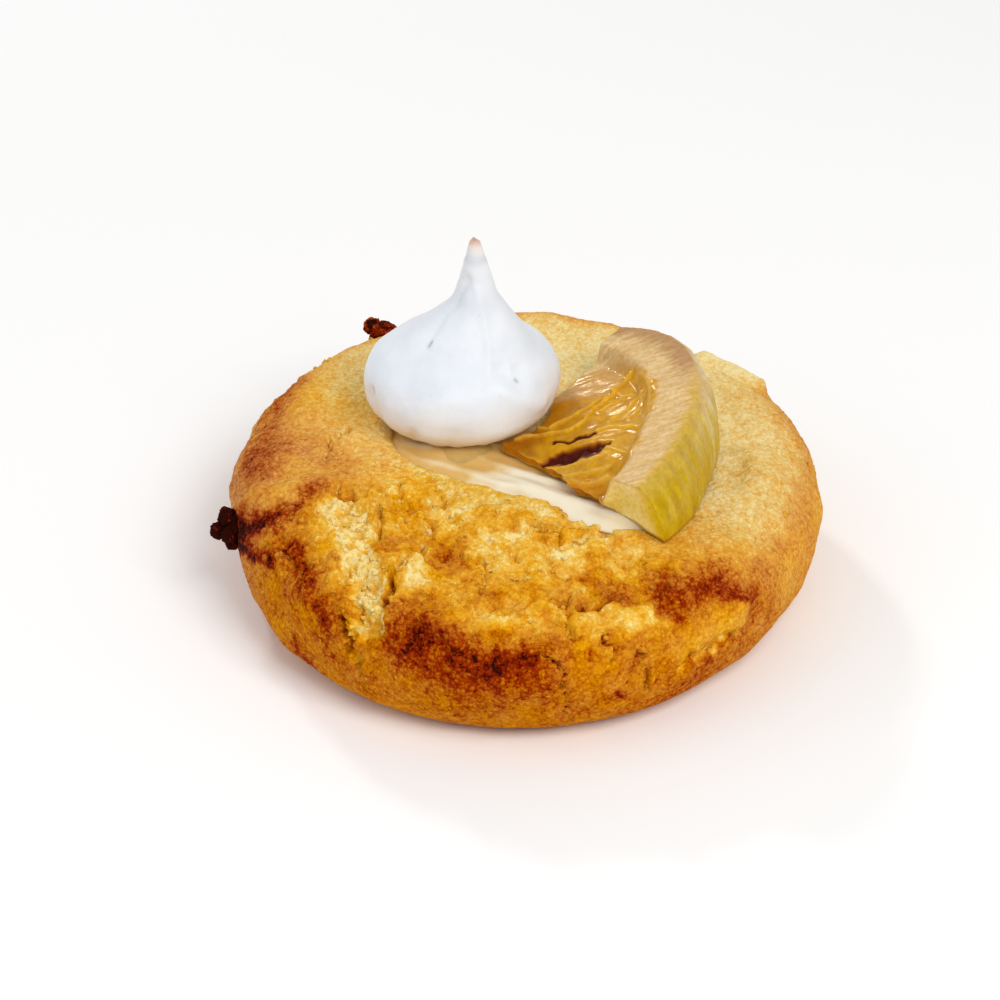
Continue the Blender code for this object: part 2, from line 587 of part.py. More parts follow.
def add_drips(cookie):
    """Burnt drips at the left and the back, fused to the crust by one union."""
    drips = bpy.data.collections.new("drips")
    bpy.context.scene.collection.children.link(drips)
    for index, (x, y, z, radius) in enumerate(LEFT_DRIPS + BACK_DRIPS):
        blob = bpy.data.meshes.new(f"drip_{index}")
        body = bmesh.new()
        bmesh.ops.create_icosphere(body, subdivisions=2, radius=radius * MM)
        bmesh.ops.translate(body, verts=body.verts[:], vec=Vector((x, y, z)) * MM)
        body.to_mesh(blob)
        body.free()
        drips.objects.link(bpy.data.objects.new(f"drip_{index}", blob))
    union = cookie.modifiers.new("fuse_drips", "BOOLEAN")
    union.operation = "UNION"
    union.operand_type = "COLLECTION"
    union.collection = drips
    union.solver = "EXACT"
    bpy.context.view_layer.update()
    fused = bpy.data.meshes.new_from_object(cookie.evaluated_get(bpy.context.evaluated_depsgraph_get()))
    cookie.modifiers.clear()
    cookie.data = fused
    for blob in list(drips.objects):
        bpy.data.objects.remove(blob)
    bpy.data.collections.remove(drips)
    body = bmesh.new()
    body.from_mesh(fused)
    bmesh.ops.triangulate(body, faces=body.faces[:])
    body.to_mesh(fused)
    body.free()


def centre_over_origin(things):
    """Move all pieces alike, so that the whole stands on the origin by its middle."""
    corners = np.array([vertex.co[:] for thing in things for vertex in thing.data.vertices])
    low, high = corners.min(axis=0), corners.max(axis=0)
    shift = Vector((-(low[0] + high[0]) / 2.0, -(low[1] + high[1]) / 2.0, -low[2]))
    for thing in things:
        for vertex in thing.data.vertices:
            vertex.co += shift


def main():
    for thing in list(bpy.data.objects):
        bpy.data.objects.remove(thing)
    cookie = add_object("cookie", cookie_mesh(), material("crust", (0.60, 0.28, 0.05), 0.75))
    add_drips(cookie)
    cream = add_object("cream", cream_mesh(), material("cream", (0.84, 0.72, 0.48), 0.3))
    kiss = add_object("meringue", kiss_mesh(), material("meringue", (0.85, 0.87, 0.88), 0.6))
    wedge = add_object("candied_citrus", wedge_mesh(), material("citrus", (0.55, 0.30, 0.03), 0.2))
    centre_over_origin([cookie, cream, kiss, wedge])


main()
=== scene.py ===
"""The looks of a thick soft cookie with cream, a meringue kiss and a candied citrus wedge.

Lengths are millimetres, measured from the cookie's own middle, until each mesh is made in
metres. The cookie, the kiss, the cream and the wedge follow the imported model's forms, with the
crust's cracks, crumb and browning, the fruit's fibres and the cream's gloss added.
"""
import math

import bmesh
import bpy
import numpy as np
from mathutils import Euler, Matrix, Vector, noise


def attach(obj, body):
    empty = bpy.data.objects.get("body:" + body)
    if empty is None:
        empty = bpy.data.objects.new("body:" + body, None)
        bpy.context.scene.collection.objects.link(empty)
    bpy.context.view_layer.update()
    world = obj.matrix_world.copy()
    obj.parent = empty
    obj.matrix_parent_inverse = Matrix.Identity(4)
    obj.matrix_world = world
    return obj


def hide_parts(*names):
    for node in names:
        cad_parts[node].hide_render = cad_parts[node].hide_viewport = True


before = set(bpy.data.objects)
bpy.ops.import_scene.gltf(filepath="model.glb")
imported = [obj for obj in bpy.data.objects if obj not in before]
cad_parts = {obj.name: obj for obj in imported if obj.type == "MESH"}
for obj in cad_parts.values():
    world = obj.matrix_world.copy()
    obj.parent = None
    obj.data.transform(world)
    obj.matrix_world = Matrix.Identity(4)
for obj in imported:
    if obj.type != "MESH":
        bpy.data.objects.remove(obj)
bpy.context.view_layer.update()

MM = 0.001

# ---- camera, as the photograph was taken ------------------------------------------------
CAMERA_RISE = 33.0          # degrees above the table
CAMERA_DISTANCE = 450.0
PHOTO_WIDTH = 1000          # pixels
PHOTO_SCALE = 7.84          # pixels for each millimetre at the cookie's middle
MIDDLE_PIXEL = (522.5, 498.6)       # where the point below shows in the photograph
MIDDLE_POINT = (0.0, 0.0, 11.0)
SENSOR_WIDTH = 36.0

# ---- surroundings, in metres ------------------------------------------------------------
# Each light: name, place, size, power, colour.
LIGHTS = (
    ("key", (0.26, -0.36, 0.5), 0.36, 2.5, (1.0, 0.99, 0.97)),
    ("fill", (-0.5, -0.15, 0.3), 0.5, 0.55, (0.97, 0.98, 1.0)),
    ("sparkle", (-0.3, 0.55, 0.4), 0.09, 1.1, (1.0, 1.0, 1.0)),
)
LIGHT_AIM = (0.0, 0.0, 0.015)
FLOOR_SIZE = 1.5
SKY_STRENGTH = 0.50

# ---- cookie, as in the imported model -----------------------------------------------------
COOKIE_RADIUS = 37.8
COOKIE_LOBES = ((3, -90.0, 0.015), (2, 90.0, 0.014), (3, 0.0, 0.009))
WIDEST_LEVEL = 9.0
PLATEAU_LEVEL = 18.3
TOP_DOME = 1.0
FRONT_SHOULDER = 13.0
BACK_SHOULDER = 8.0
UNDER_CURVE = 7.4
SHOULDER_POWER = 2.4
UNDER_POWER = 2.3
TRAVEL_PLATEAU, TRAVEL_WIDEST, TRAVEL_FOOT, TRAVEL_END = 27.0, 43.0, 55.0, 85.0
COOKIE_FACET = 0.33
BASE_FACET = 2.2

# Routes over the surface are (bearing in degrees, travel in millimetres).
# Each crack: depth, half width, browning of its floor, route. Wide cracks show pale torn crumb; the dark
# floors of the deep narrow ones are painted shade.
CRACKS = (
    (1.0, 2.3, 0.19, ((-151, 28.0), (-144, 27.8), (-134, 29.8), (-126, 32.6), (-121, 36.0),
                      (-120, 38.5))),
    (1.7, 1.0, 0.62, ((-157, 26.6), (-154, 25.6), (-151, 24.4))),
    (1.5, 0.45, 0.45, ((-146, 23.6), (-139, 25.4), (-132, 28.2))),
    (1.6, 0.6, 0.42, ((-121, 26.6), (-120, 29.8), (-120, 31.4))),
    (2.4, 0.6, 0.88, ((-121, 31.6), (-118.5, 33.0), (-118, 34.8))),
    (1.2, 0.7, 0.42, ((-125, 20.8), (-120, 25.0), (-119, 27.3))),
    (2.4, 0.8, 0.92, ((-127, 38.7), (-125, 40.3), (-124, 42.2))),
    (1.0, 0.6, 0.40, ((-124, 36.8), (-123, 38.9), (-122.5, 42.5), (-120, 46.5))),
    (1.5, 0.7, 0.50, ((-88, 18.5), (-84, 20.1), (-80, 20.8))),
    (1.0, 0.35, 0.45, ((-80, 20.8), (-78, 23.4))),
    (1.0, 0.7, 0.38, ((-78, 23.0), (-70, 23.4), (-62, 22.6))),
    (1.3, 0.5, 0.60, ((-84.5, 31.7), (-81, 32.1))),
    (2.2, 0.75, 0.72, ((-78.5, 32.9), (-75, 32.8), (-70, 32.0))),
    (1.0, 0.35, 0.50, ((-81, 32.6), (-81, 36.0))),
    (0.8, 0.25, 0.85, ((-74, 37.2), (-73.7, 38.8), (-74.3, 40.8))),
    (0.9, 0.3, 0.88, ((-68.3, 40.0), (-67.6, 41.2), (-68.2, 41.9), (-67, 43.1), (-67, 45.0))),
    (0.8, 0.25, 0.80, ((-86.5, 38.7), (-84, 39.6), (-82.6, 40.8))),
    (0.8, 0.25, 0.75, ((-84, 41.8), (-82.5, 44.5), (-82, 46.0))),
    (0.9, 0.7, 0.50, ((-60, 44.0), (-52, 43.3), (-44, 43.2))),
    (0.7, 0.35, 0.55, ((-112, 22.0), (-106, 25.5), (-101, 27.0), (-99, 31.0))),
    (0.7, 0.35, 0.50, ((-150, 19.0), (-140, 21.0), (-128, 20.5))),
    (0.6, 0.3, 0.50, ((-96, 33.5), (-90, 32.0), (-85, 31.5))),
    (0.7, 0.35, 0.55, ((-66, 28.0), (-60, 29.5), (-55, 29.0))),
    (0.5, 0.3, 0.45, ((-48, 26.5), (-38, 27.5), (-28, 28.5))),
    (0.7, 0.5, 0.60, ((168, 22.0), (176, 25.0), (-175, 26.0))),
    (0.6, 0.3, 0.65, ((150, 34.0), (141, 37.0), (139, 41.0))),
    (0.7, 0.35, 0.70, ((118, 36.0), (112, 39.0), (113, 43.0))),
    (0.6, 0.3, 0.65, ((20, 36.0), (13, 38.0), (11, 43.0))),
)
# Each ridge: height, half width, route.
RIDGES = (
    (1.1, 1.8, ((-168, 38.0), (-164, 33.0), (-162, 27.0))),
    (0.7, 3.0, ((-118, 34.5), (-108, 36.5), (-97, 38.5), (-86, 41.0))),
    (0.8, 1.5, ((-79, 35.5), (-66, 36.0))),
    (0.7, 1.3, ((-117, 26.0), (-116, 31.0))),
    (1.6, 1.8, ((44, 31.5), (38, 33.5), (32, 35.0))),
    (0.9, 2.2, ((108, 31.5), (90, 31.5), (68, 32.0))),
    (0.8, 1.8, ((-56, 40.5), (-44, 40.0))),
)
# Relief of the crust, in sizes across and heights; noises are (size, seed, height).
LUMPS = ((15.0, 1, 0.55), (6.0, 2, 0.45))
GRAIN, FINEST_HEIGHT = ((2.6, 17, 0.07),), 0.05
MOTTLE = ((3.3, 23, 0.11), (1.5, 24, 0.09))     # of the browning where it crackled
PLATE_SIZE, PLATE_STEP, PLATE_GROOVE = 6.5, 0.45, 0.16
CHIP_SIZE, CHIP_STEP, CHIP_DEPTH, CHIP_GROOVE = 2.4, 0.30, 0.12, 0.3
CLUMP_SIZES, CLUMP_HEIGHTS = (1.7, 0.85), (0.66, 0.24)
CLUMP_LEVEL = 0.6           # of its height: where a clump meets the crust
CALM_CLUMPS, WORN_CLUMPS, PLATE_CLUMPS = 0.12, 0.2, 0.6     # how strongly clumps show
PIT_SIZE, PIT_SHARE, PIT_DEPTH = 2.1, 0.55, 0.26
CALM_WALL = 0.12            # share of the relief that is left near the foot
PLATES_BEARING, PLATES_SPREAD = -105.0, 62.0
PLATES_TRAVEL = (12.0, 42.0)
# The side whose top is crumbly without having cracked: its middle, spread and travel.
WORN_BEARING, WORN_SPREAD, WORN_TRAVEL = -170.0, (30.0, 75.0), (8.0, 20.0)
# Three noises (size, seed) that bend lines, and how far each bends them.
STRAYS = ((2.5, 5), (1.1, 11), (0.55, 13))
CRACK_STRAYS, BROWNING_STRAYS = (0.5, 0.42, 0.24), (0.6, 0.4)
PLATE_STRAY, RIDGE_STRAY, WIDE_STRAY = 0.25, 0.5, 0.8
# The lip of a crack: its height for each millimetre of depth, the most depth that counts, and
# its place and width as (share of the crack's width, millimetres on top).
LIP_HEIGHT, LIP_DEPTH, LIP_PLACE, LIP_WIDTH = 0.16, 1.2, (1.2, 0.3), (0.3, 0.3)

# Browning from 0, pale crumb, to 1, burnt: change, radius, route.
BROWNING = (
    (0.26, 3.6, ((-116, 36.4), (-110, 38.0), (-104, 39.4), (-97, 40.4), (-89, 40.4))),
    (0.12, 1.8, ((-114, 34.8), (-109, 36.4), (-103, 37.9), (-97, 38.9), (-90, 39.0))),
    (0.45, 1.9, ((-168, 40.5), (-162, 37.6), (-157.5, 34.0), (-158, 31.4), (-160, 29.6))),
    (0.34, 1.1, ((-166, 42.0), (-157, 39.6), (-152, 38.8), (-148.5, 38.2))),
    (0.08, 2.6, ((-159, 25.0), (-155, 30.0), (-150, 34.0))),
    (0.10, 2.4, ((-121, 22.0), (-114, 28.0), (-112, 33.0))),
    (0.27, 2.3, ((-146, 34.2), (-141, 35.2), (-136, 36.6), (-130, 38.4))),
    (0.08, 3.0, ((-145, 37.0), (-136, 39.0), (-128, 42.0))),
    (0.22, 1.0, ((-137, 45.5), (-136, 46.5))),
    (0.38, 2.8, ((-62, 33.6), (-55, 35.0), (-47, 35.4))),
    (0.10, 4.0, ((-60, 47.0), (-48, 46.0), (-36, 45.0))),
    (0.28, 1.4, ((-47, 38.4), (-40, 40.2))),
    (0.20, 1.4, ((-74, 31.0), (-68, 31.2))),
    (0.26, 1.8, ((-116, 25.0), (-113, 25.8))),
    (0.18, 1.8, ((-139, 20.6), (-136, 21.2))),
    (0.20, 1.6, ((-131, 27.0), (-128, 27.8))),
    (0.12, 2.2, ((-112, 23.8), (-105, 27.3), (-99, 31.5))),
    (0.10, 2.0, ((-91, 28.2), (-82, 31.0))),
    (0.10, 2.0, ((-76, 29.3), (-70, 27.9))),
    (0.18, 3.0, ((-170, 24.0), (178, 27.0))),
    (0.30, 4.2, ((-176, 33.0), (165, 33.5), (148, 34.0))),
    (0.24, 2.2, ((128, 33.0), (105, 32.5), (85, 32.5), (62, 33.0))),
    (0.10, 2.6, ((-34, 38.5), (-15, 37.5), (5, 36.5), (25, 37.0), (45, 36.0))),
    (0.30, 1.1, ((-104, 53.6), (-92, 54.2), (-78, 54.0), (-66, 53.6))),
    (0.25, 0.6, ((-78, 38.7), (-77.5, 39.1))),
    (0.25, 0.6, ((-70, 40.6), (-69.5, 41.0))),
    (0.25, 0.6, ((-72, 44.3), (-71.5, 44.7))),
    (-0.22, 1.3, ((-102, 33.9), (-95, 34.1), (-89, 34.8), (-84, 34.4))),
    (-0.24, 1.2, ((-77, 33.9), (-70, 35.1), (-66, 36.0))),
    (-0.24, 1.0, ((-118, 27.3), (-116, 30.0), (-116, 33.2))),
    (-0.20, 1.2, ((-79, 25.0), (-70, 25.2), (-62, 25.2))),
    (-0.14, 1.3, ((-95, 27.4), (-94, 27.8))),
    (-0.14, 1.3, ((-85, 28.7), (-84, 29.2))),
    (-0.14, 1.2, ((-96, 21.6), (-95, 22.0))),
    (-0.20, 1.4, ((-60, 42.0), (-52, 41.7), (-45, 41.2))),
    (-0.24, 2.0, ((44, 31.5), (38, 33.0), (32, 34.5))),
)
# Browning along the section: where the crust is golden, and where it stayed pale.
GOLDEN_SIDE = ((0.0, 0.16), (14.0, 0.17), (22.0, 0.25), (30.0, 0.32), (36.0, 0.45), (43.0, 0.57),
               (50.0, 0.56), (56.0, 0.50), (85.0, 0.60))
PALE_SIDE = ((0.0, 0.08), (20.0, 0.08), (28.0, 0.11), (33.0, 0.22), (37.0, 0.34), (43.0, 0.42),
             (50.0, 0.48), (56.0, 0.48), (85.0, 0.60))
GOLDEN_BEARING, GOLDEN_SPREAD = -125.0, (62.0, 108.0)
DUSTY_BEARING, DUSTY_SPREAD = 178.0, (8.0, 40.0)
# Colour that follows the relief: browning by the bending noises and on chips, darker along the chip
# grooves, paler on the tops of clumps and darker in their clefts, and painted shade in pits.
STRAY_BAKES, WIDE_BAKE, PIT_SHADE = (0.03, 0.03, 0.04), 0.05, 0.12
CHIP_BAKE, GROOVE_BAKE, CRACKLED_BAKE = 0.07, 0.03, -0.03
CLUMP_BAKES, CRUMB_BAKES, CRUMB_PALER = (0.10, 0.12), (0.26, 0.16), 0.13
TOP_DUST, WALL_DUST = (0.75, 0.12), (0.42, 0.08)    # where it stayed pale, and where it is golden
# Colours of the crust by browning, where it is rich and where it is dusty (sRGB, 0 to 255).
RICH_CRUST = ((0.0, (246, 226, 156)), (0.18, (236, 190, 72)), (0.36, (228, 160, 12)),
              (0.52, (208, 132, 0)), (0.66, (187, 104, 0)), (0.80, (154, 51, 0)),
              (0.92, (120, 24, 2)), (1.0, (46, 9, 4)))
DUSTY_CRUST = ((0.0, (238, 220, 166)), (0.18, (228, 198, 130)), (0.36, (220, 166, 88)),
               (0.52, (208, 144, 82)), (0.66, (184, 108, 58)), (0.80, (150, 60, 24)),
               (0.92, (108, 26, 10)), (1.0, (40, 12, 10)))

# ---- cream ------------------------------------------------------------------------------
POOL_LEFT = (-8.0, 2.6)
POOL_RIGHT = (13.5, -9.6)
POOL_RADIUS = 8.0
POOL_FLOOR = 17.4
POOL_LEVEL = 18.75
POOL_SIDES, POOL_STEPS = 420, 44
POOL_SHORE = 1.3            # how far it runs out past its radius
EDGE_DROP, EDGE_INSET = 0.8, 1.0            # how much its edge slopes down, from where
SHORE_DROP = 0.9            # how far its outermost line lies under its level
POOL_STREAKS = (8.0, 1.2)   # length and width of its ripples
STREAK_RISE, RIPPLE_RISE, THICK_RISE = 0.10, 0.06, 0.5
THICK_BESIDE, THICK_WIDTH = -6.2, 1.1       # the thick run along its front
SYRUP_MIDDLE = (-7.4, 0.6)
SYRUP_RADIUS = 5.4
SYRUP_RISE = 0.42
SYRUP_RAGGED = 0.6          # how far its outline strays
SYRUP_DIP = 0.16            # its edge lies this far under the cream, for a soft shore
MOUND_MIDDLE = (-8.6, 0.2)
MOUND_RADIUS = 5.2
MOUND_RISE = 0.45
TOUCH_GAP = 0.35

# ---- meringue kiss ----------------------------------------------------------------------
KISS_FOOT = (-8.1, 8.6)
KISS_LEVEL = 19.5
KISS_OUTLINE = ((0.0, 9.8), (1.3, 11.4), (4.2, 12.5), (7.5, 11.6), (11.0, 8.0), (13.6, 5.5),
                (16.2, 3.4), (19.2, 2.2), (22.2, 1.35), (24.4, 0.7))
KISS_LEAN = ((0.0, 0.0), (10.0, 0.9), (16.5, 2.3), (20.0, 2.2), (24.4, 2.1))
KISS_LEAN_FORWARD = 0.3
KISS_SIDES = 260
KISS_LEVELS = 230
KISS_FOLDS = 3
KISS_FOLD_DEPTH = 0.045
KISS_TWIST = 0.14
KISS_NIB = (-0.2, 0.0, 0.7)
# Its fine relief, as noises of (size, seed, height), and the pinch below its tip.
KISS_LUMPS = ((6.0, 71, 0.16), (2.6, 72, 0.07))
KISS_GRAIN, FOOT_LUMPS = ((0.7, 73, 0.014),), ((1.7, 74, 0.3),)
PINCH_HEIGHT, PINCH_WIDTH, PINCH_DEPTH = 22.6, 0.6, 0.2
SCRATCH_WIDTH = 0.3         # narrower marks are scratches
# Soft modelling of its skin: rise, half width in millimetres, route of (bearing, height).
KISS_MARKS = (
    (-0.30, 1.8, ((-150, 19.0), (-156, 15.0), (-147, 12.7), (-134, 9.8), (-122, 7.5))),
    (-0.35, 0.8, ((-126, 19.7), (-145, 17.7), (-151, 15.0), (-145, 13.0), (-138, 11.8))),
    (0.30, 1.6, ((-100, 17.0), (-108, 12.0), (-100, 8.0))),
    (0.16, 0.5, ((-90, 19.0), (-74, 15.8), (-69, 12.8), (-69, 10.4))),
    (-0.60, 1.3, ((-46, 9.4), (-52, 8.6), (-60, 9.8))),
    (0.40, 1.3, ((-64, 9.0), (-52, 6.9), (-36, 5.0))),
    (0.50, 2.4, ((178, 9.2), (168, 8.6))),
    (-0.45, 1.6, ((-158, 4.0), (-150, 2.2))),
    (-0.30, 1.4, ((-92, 3.2), (-94, 1.4))),
    (-0.40, 0.8, ((-121, 1.4), (-119, 2.6))),
    (-0.35, 1.6, ((60, 12.0), (75, 7.0))),
    (-0.35, 1.5, ((130, 12.0), (112, 6.5))),
    (-0.16, 0.25, ((-138.5, 12.3), (-137.5, 11.9))),
    (-0.14, 0.2, ((-50.5, 8.8), (-49.5, 8.6))),
    (-0.12, 0.22, ((-157, 5.8), (-155, 5.2))),
)

# ---- candied citrus wedge ---------------------------------------------------------------
WEDGE_POINT = (-4.4, 0.0, 19.5)
WEDGE_SLOPE = 19.8
WEDGE_FROM, WEDGE_TO = -47.0, 45.0
WEDGE_RIM = ((-48.0, 28.8), (-32.0, 28.7), (-15.0, 28.3), (3.0, 28.4), (22.0, 28.3), (35.0, 27.6),
             (46.0, 26.3))
WEDGE_INNER = ((-48.0, 2.0), (-20.0, 2.8), (0.0, 4.1), (15.0, 5.9), (30.0, 8.6), (40.0, 10.7),
               (47.0, 12.2))
WEDGE_TUCK = ((-48.0, -0.7), (-35.0, 0.4), (-20.0, 1.4), (5.0, 1.3), (46.0, 1.4))
WEDGE_RADIUS = 28.4
PITH_WIDTH = 6.2
FLESH_SAG = 1.8
FLESH_FADE = 2.5
FLESH_LEAST = 0.9
SLUMP_WIDTH = 5.5
SLUMP_INSET = 1.5
WEDGE_ROUNDING = 0.7
WEDGE_BULGE = 0.8
FOOT_REACH = 2.0
WEDGE_STATIONS = 190
WEDGE_STEPS = 130
WALL_STEPS = 34
WEDGE_BASE_STEPS = 36
END_STEPS = 12
WEDGE_BED = 18.8
END_SWELL = 0.4
RIND_WET, END_WET = 0.75, 0.8
FOLD_STRAYS, HOLLOW_STRAYS = (0.16, 0.07), (0.40, 0.13)
SAC_HEIGHT, FLESH_SWELL, FIBRE_HEIGHT, FIBRE_GRAIN = 0.07, 0.12, 0.05, 0.06
PITH_DRYNESS, HOLLOW_DRYNESS = 0.9, 0.6
END_GRAIN, END_SHARE = 0.06, 0.97       # roughness of a cut end, and how far it closes in rings
# Noises of the front cut's edge, and of the rind's relief and its streaks: (size, seed, height).
EDGE_STRAY = ((3.4, 98, 0.55), (1.1, 99, 0.22))
RIND_WRINKLES, RIND_STREAKS = ((1.0, 91, 0.16), (0.4, 92, 0.08)), ((0.8, 93, 0.5), (0.3, 94, 0.25))
# Where the pith begins: (bearing in degrees, reach) along the cut face.
PITH_INNER = ((-48.0, 21.5), (-42.0, 22.0), (-35.0, 22.6), (-28.0, 22.4), (-22.0, 21.3),
              (-17.0, 20.2), (-13.0, 21.6), (-5.0, 22.4), (5.0, 22.5), (15.0, 21.8),
              (25.0, 21.2), (33.0, 20.6), (41.0, 18.4), (46.0, 17.0))
# Wet folds of membrane on the flesh: rise, half width, route of (out, across) from the point.
FOLDS = (
    (0.55, 0.24, ((3.0, -0.9), (4.6, -0.1), (6.4, 0.3), (7.7, 0.1), (9.0, -0.1), (10.1, -0.2),
                  (11.3, 0.1), (12.3, 1.0), (12.9, 2.2), (13.9, 3.2), (15.1, 4.1), (16.2, 4.9),
                  (16.6, 5.7), (17.5, 6.9), (18.3, 7.9), (19.0, 8.0))),
    (0.42, 0.26, ((6.1, 2.0), (7.0, 1.5), (7.8, 1.3), (8.5, 2.0), (9.6, 2.2), (11.1, 2.9),
                  (12.2, 3.5), (13.1, 4.0), (14.5, 4.9))),
    (0.30, 0.42, ((13.4, -2.6), (14.3, -2.2), (15.4, -2.2), (16.9, -2.9), (18.2, -3.4),
                  (20.6, -5.0))),
    (0.26, 0.28, ((15.7, -0.6), (17.0, -0.1), (18.3, 0.8), (19.2, 2.3), (20.1, 3.2))),
    (0.24, 0.26, ((18.0, -1.8), (18.8, -1.1), (19.7, 0.1), (20.1, 1.4), (19.9, 3.6))),
    (0.22, 0.26, ((16.6, 5.7), (17.3, 4.3), (18.7, 3.8))),
    (0.20, 0.26, ((14.4, 2.3), (16.0, 2.9), (17.4, 3.2))),
    (0.20, 0.30, ((20.3, 6.3), (21.2, 4.0), (21.4, 1.5), (21.1, -1.5))),
    (0.24, 0.30, ((7.6, -7.6), (9.2, -7.4), (11.0, -7.4), (13.0, -7.8), (15.2, -8.2))),
    (0.18, 0.26, ((8.9, -8.8), (10.9, -9.2), (13.0, -9.8), (15.4, -10.6))),
    (0.26, 0.30, ((15.0, -6.8), (16.4, -8.0), (17.6, -9.6), (18.6, -10.2))),
    (0.24, 0.34, ((10.4, -10.2), (12.6, -11.6), (15.0, -12.0), (16.6, -13.4))),
)
# Colours of the citrus (sRGB, 0 to 255).
FLESH, FLESH_BRIGHT, FLESH_POINT = (196, 136, 0), (220, 164, 8), (150, 84, 0)
FLESH_BACK, FLESH_FRONT, FLESH_NET = (184, 112, 0), (204, 128, 6), (208, 162, 60)
# The last colour on the next line is the pale membrane of the wet folds with a painted highlight on it.
FLESH_SKIN, VESICLE, MEMBRANE_HIGHLIGHT = (208, 164, 108), (222, 172, 62), (236, 186, 70)
# The next two colours are painted shade in the torn openings of the flesh.
HOLLOW_EDGE_SHADE, HOLLOW_SHADE = (150, 62, 6), (74, 6, 10)
PITH_DARK, PITH_PALE = (216, 178, 118), (232, 202, 150)
RIM_TAN, RIM_GREEN = (176, 130, 88), (208, 168, 22)
RIND_DARK, RIND_BRIGHT = (182, 146, 0), (208, 176, 24)
# The first colour on the next line is the rind's own top and also a painted reflection where it turns
# edge-on; the second is a painted highlight.
RIND_TOP_AND_REFLECTION, RIND_HIGHLIGHT = (220, 190, 138), (236, 228, 176)
END_YELLOW, END_PALE, END_FLESH = (234, 208, 26), (255, 240, 160), (190, 120, 6)
# Torn openings in the flesh: depth, half width, route.
HOLLOWS = (
    (0.30, 0.38, ((8.2, -2.2), (9.7, -2.4), (11.0, -2.6), (12.2, -2.5), (13.6, -2.9))),
    (0.55, 0.85, ((6.8, -6.3), (8.4, -5.5), (9.8, -5.3), (12.8, -5.6), (14.8, -6.1))),
    (0.30, 1.35, ((9.0, -5.6), (11.0, -5.8), (13.4, -6.0))),
)

# ---- loose crumbs -----------------------------------------------------------------------
CRUMBS = 420
CRUMB_SIZE = (0.14, 0.42)
CRUMB_SEED = 7
# Chance of a crumb at a point: anywhere, where the crust crackled, and in a crack.
CRUMB_CHANCES = (0.02, 0.10, 0.9)
CRUMB_LOWEST, CRUMB_REACH = 11.0, 36.5      # no crumbs lower down or farther out
CRUMB_RAISED = 0.15         # of its size: how far its middle lies above the crust

# ---- burnt drips: place, radius ---------------------------------------------------------
LEFT_DRIPS = ((-37.25, -6.40, 12.45, 1.18), (-38.35, -6.60, 10.55, 1.05),
              (-36.85, -7.80, 10.75, 1.18), (-36.55, -7.00, 9.05, 1.01),
              (-35.65, -6.90, 11.25, 1.76))
BACK_DRIPS = ((-18.4, 31.6, 16.6, 1.9), (-20.0, 32.4, 17.6, 1.2), (-17.2, 32.4, 15.4, 1.5))
LEFT_DRIP_BAKE, BACK_DRIP_BAKE = 1.1, 0.9       # black, and red-brown
DRIP_LUMPS, DRIP_BUBBLES = (0.6, 0.16), (0.22, 0.12)        # size and height, by the radius
LOOSE_DUST = 0.3            # how dusty drips and loose crumbs look


# ---- small helpers ----------------------------------------------------------------------
def smoothstep(low, high, value):
    """0 below low, 1 above high, an even S between them."""
    share = np.clip((value - low) / (high - low), 0.0, 1.0)
    return share * share * (3.0 - 2.0 * share)


def fade(low, high, value):
    """1 below low, 0 above high."""
    return 1.0 - smoothstep(low, high, value)


def mix(first, second, share):
    """From the first, at share 0, to the second, at share 1."""
    return first + (second - first) * share


def bell(away, width):
    """1 in the middle of a mark, falling softly to 0 beyond its width."""
    return np.exp(-((away / width) ** 2))


def in_plane(x, y):
    """Points at height 0, for noises that lie in a plane."""
    return np.column_stack([x, y, np.zeros(len(x))])


def plan_distance(plan, place):
    """Distance in plan from each point to a place."""
    return np.hypot(*(plan - np.array(place)).T)


def noise_at(points, size, seed):
    """Soft noise from -1 to 1 with lumps of this size, at each point."""
    shift = Vector((seed * 17.3, seed * 9.1, seed * 5.7))
    return np.array([noise.noise(Vector(p) / size + shift) for p in points]) * 1.6


def weighted(weights, parts):
    """The sum of parts, each times its own weight."""
    return sum(weight * part for weight, part in zip(weights, parts))


def noises(points, layers):
    """Noises one over another: (size, seed, height) each."""
    return sum(height * noise_at(points, size, seed) for size, seed, height in layers)


def plate_at(points, size, seed):
    """A level from -1 to 1 for each crust plate, and how near its edge each point is."""
    shift = Vector((seed * 3.1, seed * 7.7, seed * 1.9))
    level = np.empty(len(points))
    edge = np.empty(len(points))
    for index, point in enumerate(points):
        distances, centres = noise.voronoi(Vector(point) / size + shift)
        level[index] = noise.noise(centres[0] * 5.3) * 2.0
        edge[index] = distances[1] - distances[0]
    return np.clip(level, -1.0, 1.0), edge


def pits_at(points, size, seed, share):
    """Small round pits: 1 at the middle of a pit, 0 away from it; only a share of them."""
    shift = Vector((seed * 4.3, seed * 2.7, seed * 6.1))
    depth = np.empty(len(points))
    for index, point in enumerate(points):
        distances, centres = noise.voronoi(Vector(point) / size + shift)
        wanted = noise.cell(centres[0] * 13.7) < share
        depth[index] = max(0.0, 1.0 - distances[0] / 0.28) if wanted else 0.0
    return smoothstep(0.0, 1.0, depth)


def clumps_at(points, size, seed):
    """Rounded crumbs packed side by side: 1 at the top of each, 0 in the clefts."""
    shift = Vector((seed * 2.9, seed * 8.3, seed * 4.1))
    near = np.array([noise.voronoi(Vector(p) / size + shift)[0][0] for p in points])
    return 1.0 - np.clip(near / 0.75, 0.0, 1.0) ** 2


def pair_at(points, size, seed):
    """Two noises side by side, to shift a place in the unrolled surface."""
    return np.stack([noise_at(points, size, seed), noise_at(points, size, seed + 1)], axis=-1)


